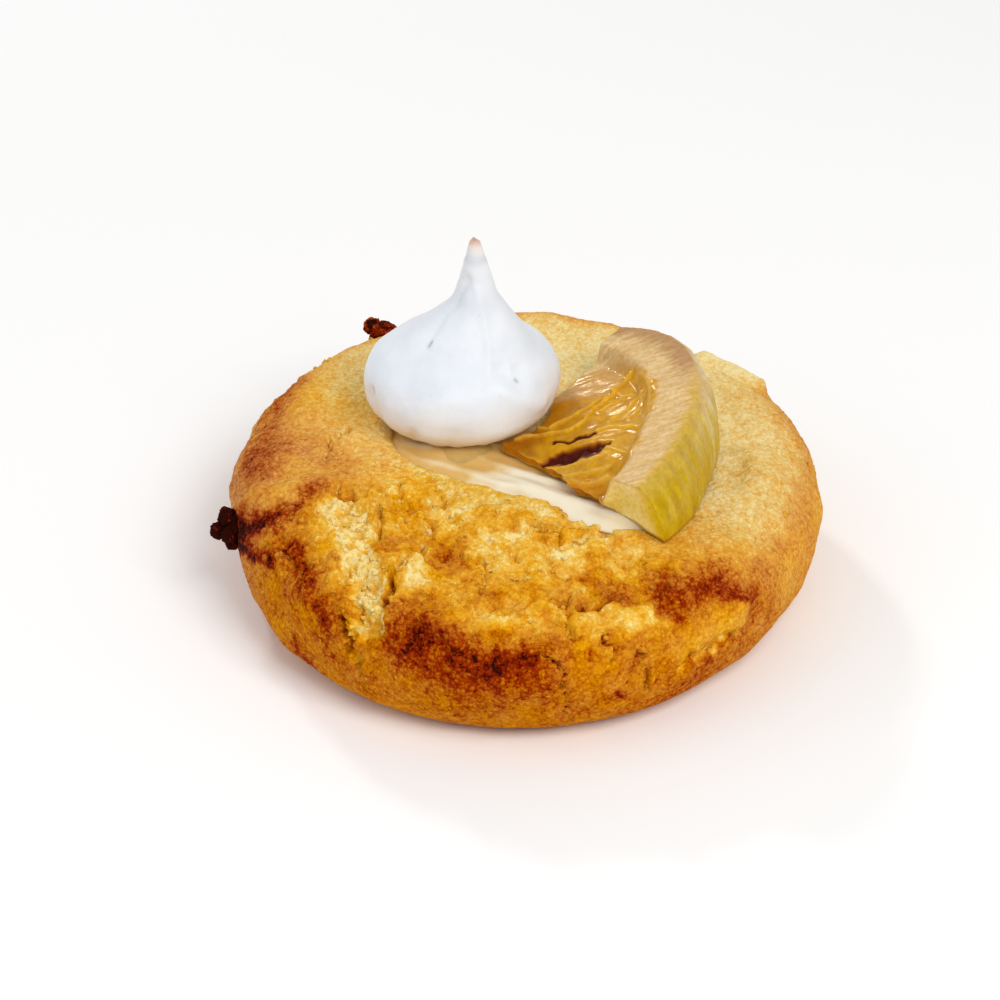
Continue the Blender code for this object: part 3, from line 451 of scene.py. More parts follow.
def smooth_curve(knots, at):
    """Values of a smooth curve through (position, value) knots."""
    x = np.array([knot[0] for knot in knots])
    y = np.array([knot[1] for knot in knots])
    slope = np.gradient(y, x)
    at = np.clip(at, x[0], x[-1])
    k = np.clip(np.searchsorted(x, at, side="right") - 1, 0, len(x) - 2)
    step = x[k + 1] - x[k]
    s = (at - x[k]) / step
    return ((2 * s**3 - 3 * s**2 + 1) * y[k] + (s**3 - 2 * s**2 + s) * step * slope[k]
            + (3 * s**2 - 2 * s**3) * y[k + 1] + (s**3 - s**2) * step * slope[k + 1])


def unrolled(bearing, travel):
    """The surface laid flat: distance from the middle is the travel along the section."""
    return np.stack([travel * np.cos(bearing), travel * np.sin(bearing)], axis=-1)


def distance_to_line(flat, knots):
    """Distance in a plane from each point to a line through knots."""
    best = np.full(len(flat), np.inf)
    for start, end in zip(knots[:-1], knots[1:]):
        start, along = np.array(start), np.array(end) - np.array(start)
        share = np.clip(((flat - start) @ along) / (along @ along), 0.0, 1.0)
        gap = flat - start - share[:, None] * along
        best = np.minimum(best, np.hypot(*gap.T))
    return best


def distance_to_route(flat, route):
    """Distance in the unrolled surface from each point to a route of (bearing, travel)."""
    return distance_to_line(flat, [unrolled(math.radians(bearing), travel) for bearing, travel in route])


def ball(subdivisions):
    """Points and triangles of a round ball of radius 1."""
    body = bmesh.new()
    bmesh.ops.create_icosphere(body, subdivisions=subdivisions, radius=1.0)
    rounds = np.array([vertex.co[:] for vertex in body.verts])
    faces = [tuple(vertex.index for vertex in face.verts) for face in body.faces]
    body.free()
    return rounds, faces


def ring_faces(rings, count):
    """Four-sided faces between rings that have equally many points."""
    faces = []
    for ring in range(rings - 1):
        for k in range(count):
            a = ring * count + k
            b = ring * count + (k + 1) % count
            faces.append((a, b, b + count, a + count))
    return faces


def linear(colour):
    """An sRGB colour, 0 to 255, as the linear values that shaders use."""
    share = np.asarray(colour, dtype=float) / 255.0
    low = share / 12.92
    high = ((share + 0.055) / 1.055) ** 2.4
    return np.where(share <= 0.04045, low, high)


# ---- cookie -----------------------------------------------------------------------------
def cookie_radius(bearing):
    """Distance of the smooth cookie's rim from its middle."""
    lobes = sum(share * np.cos(waves * (bearing - math.radians(middle)))
                for waves, middle, share in COOKIE_LOBES)
    return COOKIE_RADIUS * (1.0 + lobes)


def shoulder_width(bearing):
    """How far in from the rim the top begins to round off: most at the front."""
    middle = (FRONT_SHOULDER + BACK_SHOULDER) / 2.0
    return middle - (FRONT_SHOULDER - BACK_SHOULDER) / 2.0 * np.sin(bearing)


def top_level(x, y):
    """Height of the smooth top over a point of the plan."""
    bearing = np.arctan2(y, x)
    reach = np.hypot(x, y)
    width = shoulder_width(bearing)
    edge = cookie_radius(bearing) - width
    flat = PLATEAU_LEVEL + TOP_DOME * (1.0 - np.minimum(reach / edge, 1.0) ** 2)
    out = np.clip((reach - edge) / width, 0.0, 1.0) ** SHOULDER_POWER
    rounded = WIDEST_LEVEL + (PLATEAU_LEVEL - WIDEST_LEVEL) * (1.0 - out) ** (1.0 / SHOULDER_POWER)
    return np.where(reach < edge, flat, rounded)


def smooth_cookie(bearing, travel):
    """Points of the cookie's smooth form, from the top's middle to the base's middle."""
    quarter = math.pi / 2.0
    rim = cookie_radius(bearing)
    width = shoulder_width(bearing)
    foot = rim - UNDER_CURVE
    top = np.clip(travel / TRAVEL_PLATEAU, 0.0, 1.0)
    upper = np.clip((travel - TRAVEL_PLATEAU) / (TRAVEL_WIDEST - TRAVEL_PLATEAU), 0.0, 1.0)
    lower = np.clip((travel - TRAVEL_WIDEST) / (TRAVEL_FOOT - TRAVEL_WIDEST), 0.0, 1.0)
    base = np.clip((travel - TRAVEL_FOOT) / (TRAVEL_END - TRAVEL_FOOT), 0.0, 1.0)
    reach = (rim - width) * top
    height = PLATEAU_LEVEL + TOP_DOME * (1.0 - top**2)
    on_upper = travel > TRAVEL_PLATEAU
    outward = np.sin(upper * quarter) ** (2.0 / SHOULDER_POWER)
    upward = np.clip(np.cos(upper * quarter), 0.0, 1.0) ** (2.0 / SHOULDER_POWER)
    reach = np.where(on_upper, rim - width + width * outward, reach)
    height = np.where(on_upper, WIDEST_LEVEL + (PLATEAU_LEVEL - WIDEST_LEVEL) * upward, height)
    on_lower = travel > TRAVEL_WIDEST
    outward = np.clip(np.cos(lower * quarter), 0.0, 1.0) ** (2.0 / UNDER_POWER)
    downward = np.sin(lower * quarter) ** (2.0 / UNDER_POWER)
    reach = np.where(on_lower, foot + UNDER_CURVE * outward, reach)
    height = np.where(on_lower, WIDEST_LEVEL * (1.0 - downward), height)
    on_base = travel > TRAVEL_FOOT
    reach = np.where(on_base, foot * (1.0 - base), reach)
    height = np.where(on_base, 0.0, height)
    return np.stack([reach * np.cos(bearing), reach * np.sin(bearing), height], axis=-1)


def smooth_normals(bearing, travel):
    """Outward directions of the smooth form."""
    turn, step = 1e-3, 1e-2
    here = np.clip(travel, step, TRAVEL_END - step)
    along = smooth_cookie(bearing, here + step) - smooth_cookie(bearing, here - step)
    across = smooth_cookie(bearing + turn, here) - smooth_cookie(bearing - turn, here)
    normal = np.cross(along, across)
    return normal / np.maximum(np.linalg.norm(normal, axis=1, keepdims=True), 1e-9)


def off_bearing(bearing, middle):
    """Degrees between each bearing and a middle one."""
    return np.abs((np.degrees(bearing) - middle + 180.0) % 360.0 - 180.0)


def crackled_share(bearing, travel):
    """1 where the crust broke up in the oven, 0 where it stayed whole."""
    share = fade(0.7 * PLATES_SPREAD, PLATES_SPREAD, off_bearing(bearing, PLATES_BEARING))
    share *= smoothstep(PLATES_TRAVEL[0], PLATES_TRAVEL[0] + 4.0, travel)
    return share * fade(PLATES_TRAVEL[1] - 6.0, PLATES_TRAVEL[1], travel)


def cracks(torn):
    """How deep the cracks are, how open, and the browning of their floors, which in the narrow cracks is
    painted shade.
    """
    deep = np.zeros(len(torn))
    inside = np.zeros(len(torn))
    floor = np.zeros(len(torn))
    for depth, width, brown, route in CRACKS:
        away = distance_to_route(torn, route)
        soft = min(0.8 * width, 0.8)
        opened = fade(width - soft, width + 0.3 * soft, away)
        lip = bell(away - LIP_PLACE[0] * width - LIP_PLACE[1], LIP_WIDTH[0] * width + LIP_WIDTH[1])
        deep += LIP_HEIGHT * min(depth, LIP_DEPTH) * lip - depth * opened
        floor = mix(floor, brown, opened)
        inside = np.maximum(inside, opened)
    return deep, inside, floor


def crust(points, bearing, travel):
    """The crust's rise over the smooth form, its browning with painted shade in pits and narrow cracks,
    dustiness and how torn it is.
    """
    flat = unrolled(bearing, travel)
    strays = [pair_at(points, size, seed) for size, seed in STRAYS]
    coarse, fine, finest = strays
    crackled = crackled_share(bearing, travel)
    jagged = points + PLATE_STRAY * np.concatenate([fine, fine[:, :1]], axis=1)
    plate, plate_edge = plate_at(jagged, PLATE_SIZE, 3)
    chip, chip_edge = plate_at(jagged, CHIP_SIZE, 4)
    deep, inside, floor = cracks(flat + weighted(CRACK_STRAYS, strays))
    rough = np.clip(PLATE_CLUMPS * crackled + inside, 0.0, 1.0)
    worn = fade(*WORN_SPREAD, off_bearing(bearing, WORN_BEARING)) * smoothstep(*WORN_TRAVEL, travel)
    clumps = [clumps_at(points, size, seed) - CLUMP_LEVEL for seed, size in enumerate(CLUMP_SIZES, 31)]
    pits = pits_at(points, PIT_SIZE, 18, PIT_SHARE) * (1.0 - rough)

    rise = noises(points, LUMPS) + crackled * PLATE_STEP * (plate - fade(0.0, PLATE_GROOVE, plate_edge))
    rise += crackled * (CHIP_STEP * chip - CHIP_DEPTH * fade(0.0, CHIP_GROOVE, chip_edge))
    for height, width, route in RIDGES:
        rise += height * bell(distance_to_route(flat + RIDGE_STRAY * coarse, route), width)
    rise += deep
    crumbly = np.maximum(CALM_CLUMPS + WORN_CLUMPS * worn, rough)
    rise += crumbly * weighted(CLUMP_HEIGHTS, clumps)
    rise += noises(points, GRAIN) + FINEST_HEIGHT * finest[:, 0] - PIT_DEPTH * pits
    rise *= mix(CALM_WALL, 1.0, fade(TRAVEL_WIDEST, TRAVEL_FOOT - 3.0, travel))
    rise *= fade(TRAVEL_FOOT - 0.5, TRAVEL_FOOT + 1.0, travel)

    golden = fade(*GOLDEN_SPREAD, off_bearing(bearing, GOLDEN_BEARING))
    bake_and_shading = browning(points, travel, golden, flat + weighted(BROWNING_STRAYS, strays))
    bake_and_shading += weighted(STRAY_BAKES, [stray[:, 0] for stray in strays])
    bake_and_shading += crackled * (CHIP_BAKE * chip + GROOVE_BAKE * fade(0.05, CHIP_GROOVE, chip_edge))
    bake_and_shading += crackled * (noises(points, MOTTLE) + CRACKLED_BAKE)
    # Pits are darkened here as painted shade.
    bake_and_shading += PIT_SHADE * pits - rough * weighted(CLUMP_BAKES, clumps)
    # Inside a crack the colour follows its floor: pale torn crumb in wide cracks, painted shade where a
    # crack is deep and narrow.
    crumb = floor - CRUMB_PALER - weighted(CRUMB_BAKES, clumps) + 0.06 * fine[:, 1]
    bake_and_shading = mix(bake_and_shading, crumb, smoothstep(0.2, 0.8, inside))
    dusty = dustiness(bearing, travel, golden, inside) + 0.12 * coarse[:, 1]
    return rise, np.clip(bake_and_shading, 0.0, 1.0), np.clip(dusty, 0.0, 1.0), inside


def browning(points, travel, golden, drawn):
    """How brown the whole crust is: along its section, and near the routes of browning."""
    bake_and_shading = mix(smooth_curve(PALE_SIDE, travel), smooth_curve(GOLDEN_SIDE, travel), golden)
    wide = pair_at(points, 6.0, 21)
    for change, radius, route in BROWNING:
        bake_and_shading += change * bell(distance_to_route(drawn + WIDE_STRAY * wide, route), radius)
    return bake_and_shading + WIDE_BAKE * wide[:, 0]


def dustiness(bearing, travel, golden, inside):
    """How dull and floury the crust looks: most on the pale side and on the left rim."""
    left = fade(*DUSTY_SPREAD, off_bearing(bearing, DUSTY_BEARING))
    top = np.maximum(mix(*TOP_DUST, golden) * (1.0 - 0.3 * inside), 0.6 * left)
    side = np.maximum(mix(*WALL_DUST, golden), 0.9 * left)
    return mix(top, side, smoothstep(35.0, 40.0, travel))


def settle_under_toppings(points):
    """The hollow for the cream, and a bed with few bumps under the kiss and the wedge."""
    plan = points[:, :2]
    z = points[:, 2].copy()
    on_top = z > WIDEST_LEVEL
    smooth = top_level(points[:, 0], points[:, 1])
    calm = fade(KISS_OUTLINE[0][1] - 0.5, KISS_OUTLINE[0][1] + 1.5, plan_distance(plan, KISS_FOOT))
    z = z + (np.minimum(z, np.minimum(smooth, KISS_LEVEL - TOUCH_GAP)) - z) * calm
    calm = fade(0.5, 2.0, wedge_clearance(plan))
    z = z + (np.minimum(z, np.minimum(smooth, WEDGE_BED)) - z) * calm
    shore = pool_distance(plan) + 0.4 * noise_at(in_plane(*plan.T), 2.4, 31)
    sunk = fade(POOL_RADIUS - 0.4, POOL_RADIUS + 0.9, shore)
    z = z + (POOL_FLOOR - z) * sunk
    settled = points.copy()
    settled[:, 2] = np.where(on_top, z, points[:, 2])
    return settled


def ring_plan(facet, base_facet):
    """Travel and number of points of each ring, so that triangles stay about even."""
    rings = []
    travel = facet * 0.9
    while travel < TRAVEL_END - base_facet * 0.5:
        share = smoothstep(TRAVEL_FOOT - 1.0, TRAVEL_FOOT + 8.0, travel)
        size = float(facet + (base_facet - facet) * share)
        reach = float(np.hypot(*smooth_cookie(np.array([0.0]), np.array([travel]))[0, :2]))
        rings.append((travel, max(6, round(2.0 * math.pi * reach / size))))
        travel += size * 0.88
    return rings


def stitch(first, first_count, second, second_count):
    """Triangles between two rings with different numbers of points."""
    faces = []
    a = b = 0
    while a < first_count or b < second_count:
        corner_a = first + a % first_count
        corner_b = second + b % second_count
        if (a + 1) / first_count <= (b + 1) / second_count:
            faces.append((corner_a, corner_b, first + (a + 1) % first_count))
            a += 1
        else:
            faces.append((corner_a, corner_b, second + (b + 1) % second_count))
            b += 1
    return faces


def cookie_crust():
    """Points, triangles and finish values of the cookie, and how torn it is at each point."""
    bearing, travel, counts = [0.0], [0.0], []
    for place, count in ring_plan(COOKIE_FACET, BASE_FACET):
        turn = (len(counts) % 2) * math.pi / count
        bearing += [turn + 2.0 * math.pi * k / count for k in range(count)]
        travel += [place] * count
        counts.append(count)
    bearing.append(0.0)
    travel.append(TRAVEL_END)
    bearing, travel = np.array(bearing), np.array(travel)
    points = smooth_cookie(bearing, travel)
    normals = smooth_normals(bearing, travel)
    normals[0], normals[-1] = (0.0, 0.0, 1.0), (0.0, 0.0, -1.0)
    rise, bake_and_shading, dusty, inside = crust(points, bearing, travel)
    points = settle_under_toppings(points + normals * rise[:, None])
    faces = [(0, 1 + k, 1 + (k + 1) % counts[0]) for k in range(counts[0])]
    start = 1
    for inner, outer in zip(counts[:-1], counts[1:]):
        faces += stitch(start, inner, start + inner, outer)
        start += inner
    last = len(points) - 1
    faces += [(start + k, last, start + (k + 1) % counts[-1]) for k in range(counts[-1])]
    return points, faces, {"bake_and_shading": bake_and_shading, "dusty": dusty}, inside


def drip_blobs(points, faces, values):
    """The burnt drips, joined to the crust's lists as small bubbled blobs."""
    rounds, sphere = ball(4)
    for index, (x, y, z, radius) in enumerate(LEFT_DRIPS + BACK_DRIPS):
        bumps = 1.0 + DRIP_LUMPS[1] * noise_at(rounds, DRIP_LUMPS[0], 40 + index)
        bumps += DRIP_BUBBLES[1] * noise_at(rounds, DRIP_BUBBLES[0], 50)
        start = len(points)
        points = np.concatenate([points, rounds * (radius * bumps)[:, None] + (x, y, z)])
        faces += [tuple(start + corner for corner in face) for face in sphere]
        burnt = LEFT_DRIP_BAKE if index < len(LEFT_DRIPS) else BACK_DRIP_BAKE
        # Lighter on the bulges and darker in the dents: a painted highlight and painted shade that follow
        # the bubbles.
        burnt = burnt + 0.1 * noise_at(rounds, 0.7, 60 + index) - 0.5 * (bumps - 1.0)
        values["bake_and_shading"] = np.concatenate([values["bake_and_shading"], burnt])
        values["dusty"] = np.concatenate([values["dusty"], np.full(len(rounds), LOOSE_DUST)])
    return points, faces, values


# ---- cream ------------------------------------------------------------------------------
def pool_distance(plan):
    """Distance in plan from the line between the pool's two ends."""
    return distance_to_line(plan, (POOL_LEFT, POOL_RIGHT))


def pool_ring(radius, count):
    """Points in plan at one distance from the pool's line: two straights and two half rounds."""
    start, end = np.array(POOL_LEFT), np.array(POOL_RIGHT)
    along = (end - start) / np.linalg.norm(end - start)
    side = np.array([-along[1], along[0]])
    length = np.linalg.norm(end - start)
    whole = 2.0 * length + 2.0 * math.pi * radius
    ring = []
    for k in range(count):
        run = whole * k / count
        if run < length:
            ring.append(start + along * run - side * radius)
        elif run < length + math.pi * radius:
            turn = (run - length) / radius
            ring.append(end + radius * (along * math.sin(turn) - side * math.cos(turn)))
        elif run < 2.0 * length + math.pi * radius:
            back = run - length - math.pi * radius
            ring.append(end - along * back + side * radius)
        else:
            turn = (run - 2.0 * length - math.pi * radius) / radius
            ring.append(start + radius * (side * math.cos(turn) - along * math.sin(turn)))
    return np.array(ring)


def cream_swell(plan):
    """How far the cream bulges in front of the kiss."""
    return MOUND_RISE * fade(0.4 * MOUND_RADIUS, MOUND_RADIUS, plan_distance(plan, MOUND_MIDDLE))


def cream_pool():
    """A pool that runs out under the crust's torn shore, with a swell and soft streaks."""
    floor = POOL_FLOOR + TOUCH_GAP * 0.5
    shore = POOL_RADIUS + POOL_SHORE
    rings = [(POOL_RADIUS - 4.0, floor), (POOL_RADIUS + 0.4, floor), (shore, POOL_LEVEL - SHORE_DROP)]
    slope_start = POOL_RADIUS - EDGE_INSET
    rings += [(radius, POOL_LEVEL - EDGE_DROP * ((radius - slope_start) / (shore - slope_start)) ** 2)
              for radius in np.linspace(shore, slope_start, 12)[1:]]
    rings += [(radius, POOL_LEVEL) for radius in np.linspace(POOL_RADIUS - 1.3, 0.15, POOL_STEPS)]
    plan = np.concatenate([pool_ring(radius, POOL_SIDES) for radius, _ in rings])
    level = np.repeat([level for _, level in rings], POOL_SIDES)
    reach = np.repeat([radius for radius, _ in rings], POOL_SIDES)
    on_top = np.arange(len(plan)) >= 3 * POOL_SIDES
    swell = cream_swell(plan)
    start, along = np.array(POOL_LEFT), np.array(POOL_RIGHT) - np.array(POOL_LEFT)
    along = along / np.linalg.norm(along)
    run, beside = (plan - start) @ along, (plan - start) @ np.array([-along[1], along[0]])
    streaks = in_plane(run / POOL_STREAKS[0], beside / POOL_STREAKS[1])
    ripple = STREAK_RISE * noise_at(streaks, 1.0, 63) + RIPPLE_RISE * noise_at(in_plane(*plan.T), 2.2, 64)
    thick = bell(beside - THICK_BESIDE, THICK_WIDTH) * smoothstep(9.0, 14.0, run)
    calm = fade(slope_start, shore, reach)
    level = level + np.where(on_top, swell + ripple * calm + THICK_RISE * thick * calm, 0.0)
    points = np.column_stack([plan, level])
    faces = ring_faces(len(rings), POOL_SIDES)
    faces.append(tuple(reversed(range(POOL_SIDES))))
    faces.append(tuple((len(rings) - 1) * POOL_SIDES + k for k in range(POOL_SIDES)))
    white = smoothstep(4.0, 12.0, run) * fade(-5.0, -2.0, beside)
    return points, faces, {"white": np.clip(white + 4.0 * ripple, 0.0, 1.0)}


def syrup_drop():
    """The clear syrup that gathers under the kiss's front edge: a lens that thins out."""
    rounds, faces = ball(6)
    flat = in_plane(rounds[:, 0], rounds[:, 1])
    plan = rounds[:, :2] * (SYRUP_RADIUS + SYRUP_RAGGED * noise_at(flat, 0.8, 66))[:, None]
    lens = (1.0 - rounds[:, 0] ** 2 - rounds[:, 1] ** 2) ** 2
    plan = plan + np.array(SYRUP_MIDDLE)
    level = POOL_LEVEL - SYRUP_DIP + cream_swell(plan)
    level += np.where(rounds[:, 2] > 0.0, (SYRUP_RISE + 0.1) * lens, -0.2 * lens)
    return np.column_stack([plan, level]), faces, {}


# ---- meringue ---------------------------------------------------------------------------
def kiss_point(height, bearing, extra=0.0):
    """A point of the kiss's skin, from its outline, its folds and its lean."""
    radius = smooth_curve(KISS_OUTLINE, height)
    fold = smoothstep(3.0, 12.0, height) * fade(17.0, 22.0, height)
    twist = bearing * KISS_FOLDS + height * KISS_TWIST
    radius = radius * (1.0 + KISS_FOLD_DEPTH * fold * np.cos(twist)) + extra
    lean = smooth_curve(KISS_LEAN, height)
    x = KISS_FOOT[0] + lean + radius * np.cos(bearing)
    y = KISS_FOOT[1] - KISS_LEAN_FORWARD * lean + radius * np.sin(bearing)
    return np.column_stack([x, y, KISS_LEVEL + height])


def kiss_skin():
    """The kiss's skin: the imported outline, with soft folds, dents and a fine dry grain."""
    top = KISS_OUTLINE[-1][0]
    share = np.linspace(0.0, 1.0, KISS_LEVELS)
    levels = np.repeat(top * (0.75 * share + 0.25 * share**0.6), KISS_SIDES)
    turns = np.tile(np.linspace(0.0, 2.0 * math.pi, KISS_SIDES, endpoint=False), KISS_LEVELS)
    plain = kiss_point(levels, turns)
    extra = np.zeros(len(levels))
    scratch = np.zeros(len(levels))
    for rise, width, route in KISS_MARKS:
        bearings, heights = np.radians([place[0] for place in route]), [place[1] for place in route]
        fine_route = np.linspace(0, len(route) - 1, 24)
        knots = kiss_point(np.interp(fine_route, range(len(route)), heights),
                           np.interp(fine_route, range(len(route)), bearings))
        away = np.min([np.linalg.norm(plain - knot, axis=1) for knot in knots], axis=0)
        mark = bell(away, width)
        extra += rise * mark
        if width < SCRATCH_WIDTH:
            scratch = np.maximum(scratch, mark)
    body = smoothstep(0.5, 3.0, levels) * fade(18.0, 22.0, levels)
    extra += body * noises(plain, KISS_LUMPS) + noises(plain, KISS_GRAIN)
    extra += fade(0.0, 1.4, levels) * noises(plain, FOOT_LUMPS)
    extra -= PINCH_DEPTH * bell(levels - PINCH_HEIGHT, PINCH_WIDTH) * (0.5 - 0.5 * np.sin(turns))
    points = kiss_point(levels, turns, extra)
    faces = ring_faces(KISS_LEVELS, KISS_SIDES)
    faces.append(tuple(reversed(range(KISS_SIDES))))
    middle = points[-KISS_SIDES:].mean(axis=0) + np.array(KISS_NIB)
    points = np.concatenate([points, middle[None, :]])
    last = len(points) - 1
    start = (KISS_LEVELS - 1) * KISS_SIDES
    faces += [(start + k, start + (k + 1) % KISS_SIDES, last) for k in range(KISS_SIDES)]
    levels = np.append(levels, top + KISS_NIB[2])
    return points, faces, {"height": levels / (top + KISS_NIB[2]), "scratch": np.append(scratch, 0.0)}


# ---- candied citrus ---------------------------------------------------------------------
def wedge_frame():
    """The wedge's own directions: towards the rind, across, and out of its cut face."""
    slope = math.radians(WEDGE_SLOPE)
    return (np.array([math.cos(slope), 0.0, math.sin(slope)]), np.array([0.0, 1.0, 0.0]),
            np.array([-math.sin(slope), 0.0, math.cos(slope)]))


def wedge_clearance(plan):
    """Distance in plan outside the wedge's footprint, about."""
    gap = plan - np.array(WEDGE_POINT[:2])
    reach = np.hypot(*gap.T)
    bearing = np.degrees(np.arctan2(gap[:, 1], gap[:, 0]))
    beyond = np.maximum(WEDGE_FROM - 6.0 - bearing, bearing - WEDGE_TO - 6.0)
    side = reach * np.sin(np.radians(np.clip(beyond, 0.0, 90.0)))
    return np.maximum(reach - WEDGE_RADIUS - 3.0, side)


def wedge_base_level(x, y):
    """Height of the wedge's underside, just clear of the cookie and the cream."""
    bed = np.minimum(top_level(x, y), WEDGE_BED)
    over_pool = fade(POOL_RADIUS, POOL_RADIUS + 2.0, pool_distance(np.column_stack([x, y])))
    return bed + (WEDGE_BED - bed) * over_pool + TOUCH_GAP


def wedge_value(knots, bearing):
    """A smooth value around the wedge from (bearing in degrees, value) knots."""
    return smooth_curve(knots, np.degrees(bearing))


def flesh_share(reach):
    """1 in the flesh, 0 in the pith."""
    flesh_end = WEDGE_RADIUS - PITH_WIDTH
    return fade(flesh_end - FLESH_FADE, flesh_end, reach)


def wedge_rays(bearing):
    """Directions from the point along the cut face."""
    out, across, _ = wedge_frame()
    return np.cos(bearing)[:, None] * out + np.sin(bearing)[:, None] * across


def wedge_top(bearing, reach, relief):
    """Points of the cut face: the flesh sags, and slumps towards the front cut."""
    up = wedge_frame()[2]
    sag = FLESH_SAG * flesh_share(reach)
    place = np.array(WEDGE_POINT) + wedge_rays(bearing) * reach[:, None]
    place = place - up * sag[:, None]
    least = wedge_base_level(place[:, 0], place[:, 1]) + FLESH_LEAST
    inside = reach * np.sin(bearing - math.radians(WEDGE_FROM))
    slump = flesh_share(reach - SLUMP_INSET) * fade(0.0, SLUMP_WIDTH, inside)
    level = place[:, 2] + (least - place[:, 2]) * slump
    place[:, 2] = 0.5 * (level + least + np.sqrt((level - least) ** 2 + 0.3))
    return place + up * relief[:, None]


def cut_face(bearing, reach):
    """Relief and the shares of pith, membrane (which also carries a painted highlight along the folds),
    cavity and vesicles on the cut face.
    """
    out = reach * np.cos(bearing)
    across = reach * np.sin(bearing)
    face = np.column_stack([out, across])
    solid = in_plane(out, across)
    fine, finest = pair_at(solid, 1.3, 81), pair_at(solid, 0.6, 83)
    torn = face + weighted(FOLD_STRAYS, (fine, finest))
    inner = smooth_curve(PITH_INNER, np.degrees(bearing)) + 0.45 * noise_at(solid, 1.4, 85)
    pith = smoothstep(-0.5, 0.5, reach - inner + 0.2 * finest[:, 0])
    membrane = np.zeros(len(out))
    relief = np.zeros(len(out))
    for rise, width, route in FOLDS:
        line = bell(distance_to_line(torn, route), width)
        relief += rise * line * (0.85 + 0.25 * fine[:, 0])
        membrane = np.maximum(membrane, line)
    cavity = np.zeros(len(out))
    ragged = face + weighted(HOLLOW_STRAYS, (fine, finest))
    for depth, width, route in HOLLOWS:
        shape = fade(0.4 * width, 1.3 * width, distance_to_line(ragged, route))
        relief -= depth * shape * (0.8 + 0.4 * fine[:, 1])
        cavity = np.maximum(cavity, shape)
    turn = np.degrees(bearing) * reach
    sacs = clumps_at(in_plane(turn / 60.0, reach / 2.4), 1.0, 86) * smoothstep(11.0, 16.0, reach)
    swell = FLESH_SWELL * noise_at(solid, 3.6, 87)
    relief += (1.0 - pith) * (swell + 0.01 * fine[:, 0] + SAC_HEIGHT * sacs)
    fibre = noise_at(in_plane(turn / 22.0, reach / 2.0), 1.0, 88)
    relief += pith * (FIBRE_HEIGHT * fibre + FIBRE_GRAIN * fine[:, 0] + 0.03 * finest[:, 1])
    wet = (1.0 - PITH_DRYNESS * pith) * (1.0 - HOLLOW_DRYNESS * cavity)
    return relief, wet, (pith, membrane, cavity, sacs, fibre, fine)


def ragged_edge(bearing, reach):
    """How far the flesh's edge strays along the front cut, as an angle."""
    near = fade(0.0, 16.0, np.degrees(bearing) - WEDGE_FROM)
    stray = noises(in_plane(reach, np.zeros(len(reach))), EDGE_STRAY)
    return near * flesh_share(reach + 1.0) * stray / np.maximum(reach, 4.0)


def layered(colour, layers):
    """Linear colours drawn towards one sRGB colour after another, each by its share."""
    for over, share in layers:
        colour = mix(colour, linear(over), np.clip(share, 0.0, 1.0)[:, None])
    return colour


def citrus_colours(bearing, reach, radius, parts):
    """Linear colours of the cut face by zone: flesh, membranes with a painted highlight, pith and the
    rind's edge, and painted shade in the torn openings.
    """
    pith, membrane, cavity, sacs, fibre, fine = parts
    degrees = np.degrees(bearing)
    across = reach * np.sin(bearing)
    back = reach * np.sin(math.radians(WEDGE_TO) - bearing)
    front = reach * np.sin(bearing - math.radians(WEDGE_FROM))
    from_rim = radius - reach
    net = fade(-7.6, -6.4, across + 0.4 * fine[:, 0]) * fade(14.0, 17.0, reach)
    skin_width = np.clip(1.0 + 1.3 * (reach - 11.7), 0.0, 6.5)
    colour = layered(linear(FLESH), (
        (FLESH_BRIGHT, 0.5 + 0.5 * fine[:, 0]),
        (FLESH_POINT, fade(3.5, 9.0, reach + 0.8 * fine[:, 1])),
        (FLESH_BACK, 0.6 * fade(3.0, 7.0, back) * fade(12.0, 16.0, reach)),
        (FLESH_NET, 0.8 * net * (0.75 + 0.35 * fine[:, 1])),
        (FLESH_FRONT, 0.8 * fade(1.5, 3.0, front) * smoothstep(13.0, 16.0, reach)),
        (FLESH_SKIN, 0.85 * fade(-0.9, 0.9, back - skin_width + 0.5 * fine[:, 0])),
        (VESICLE, 0.45 * sacs * smoothstep(13.0, 17.0, reach)),
        # Along the folds: pale membrane with a painted highlight.
        (MEMBRANE_HIGHLIGHT, 0.6 * membrane),
    ))
    pale = layered(linear(PITH_DARK), ((PITH_PALE, 0.5 + 0.6 * fibre),))
    tan = fade(1.6, 4.2, from_rim + 0.5 * fibre) * smoothstep(-2.0, 12.0, degrees)
    green = fade(0.3, 2.6, from_rim + 0.7 * fibre) * fade(-10.0, 8.0, degrees)
    return layered(mix(colour, pale, pith[:, None]), (
        (RIM_TAN, 0.8 * tan),
        (RIM_GREEN, 0.8 * green),
        # Painted shade in the torn openings.
        (HOLLOW_EDGE_SHADE, 1.6 * cavity),
        (HOLLOW_SHADE, 1.6 * (cavity - 0.25)),
    ))


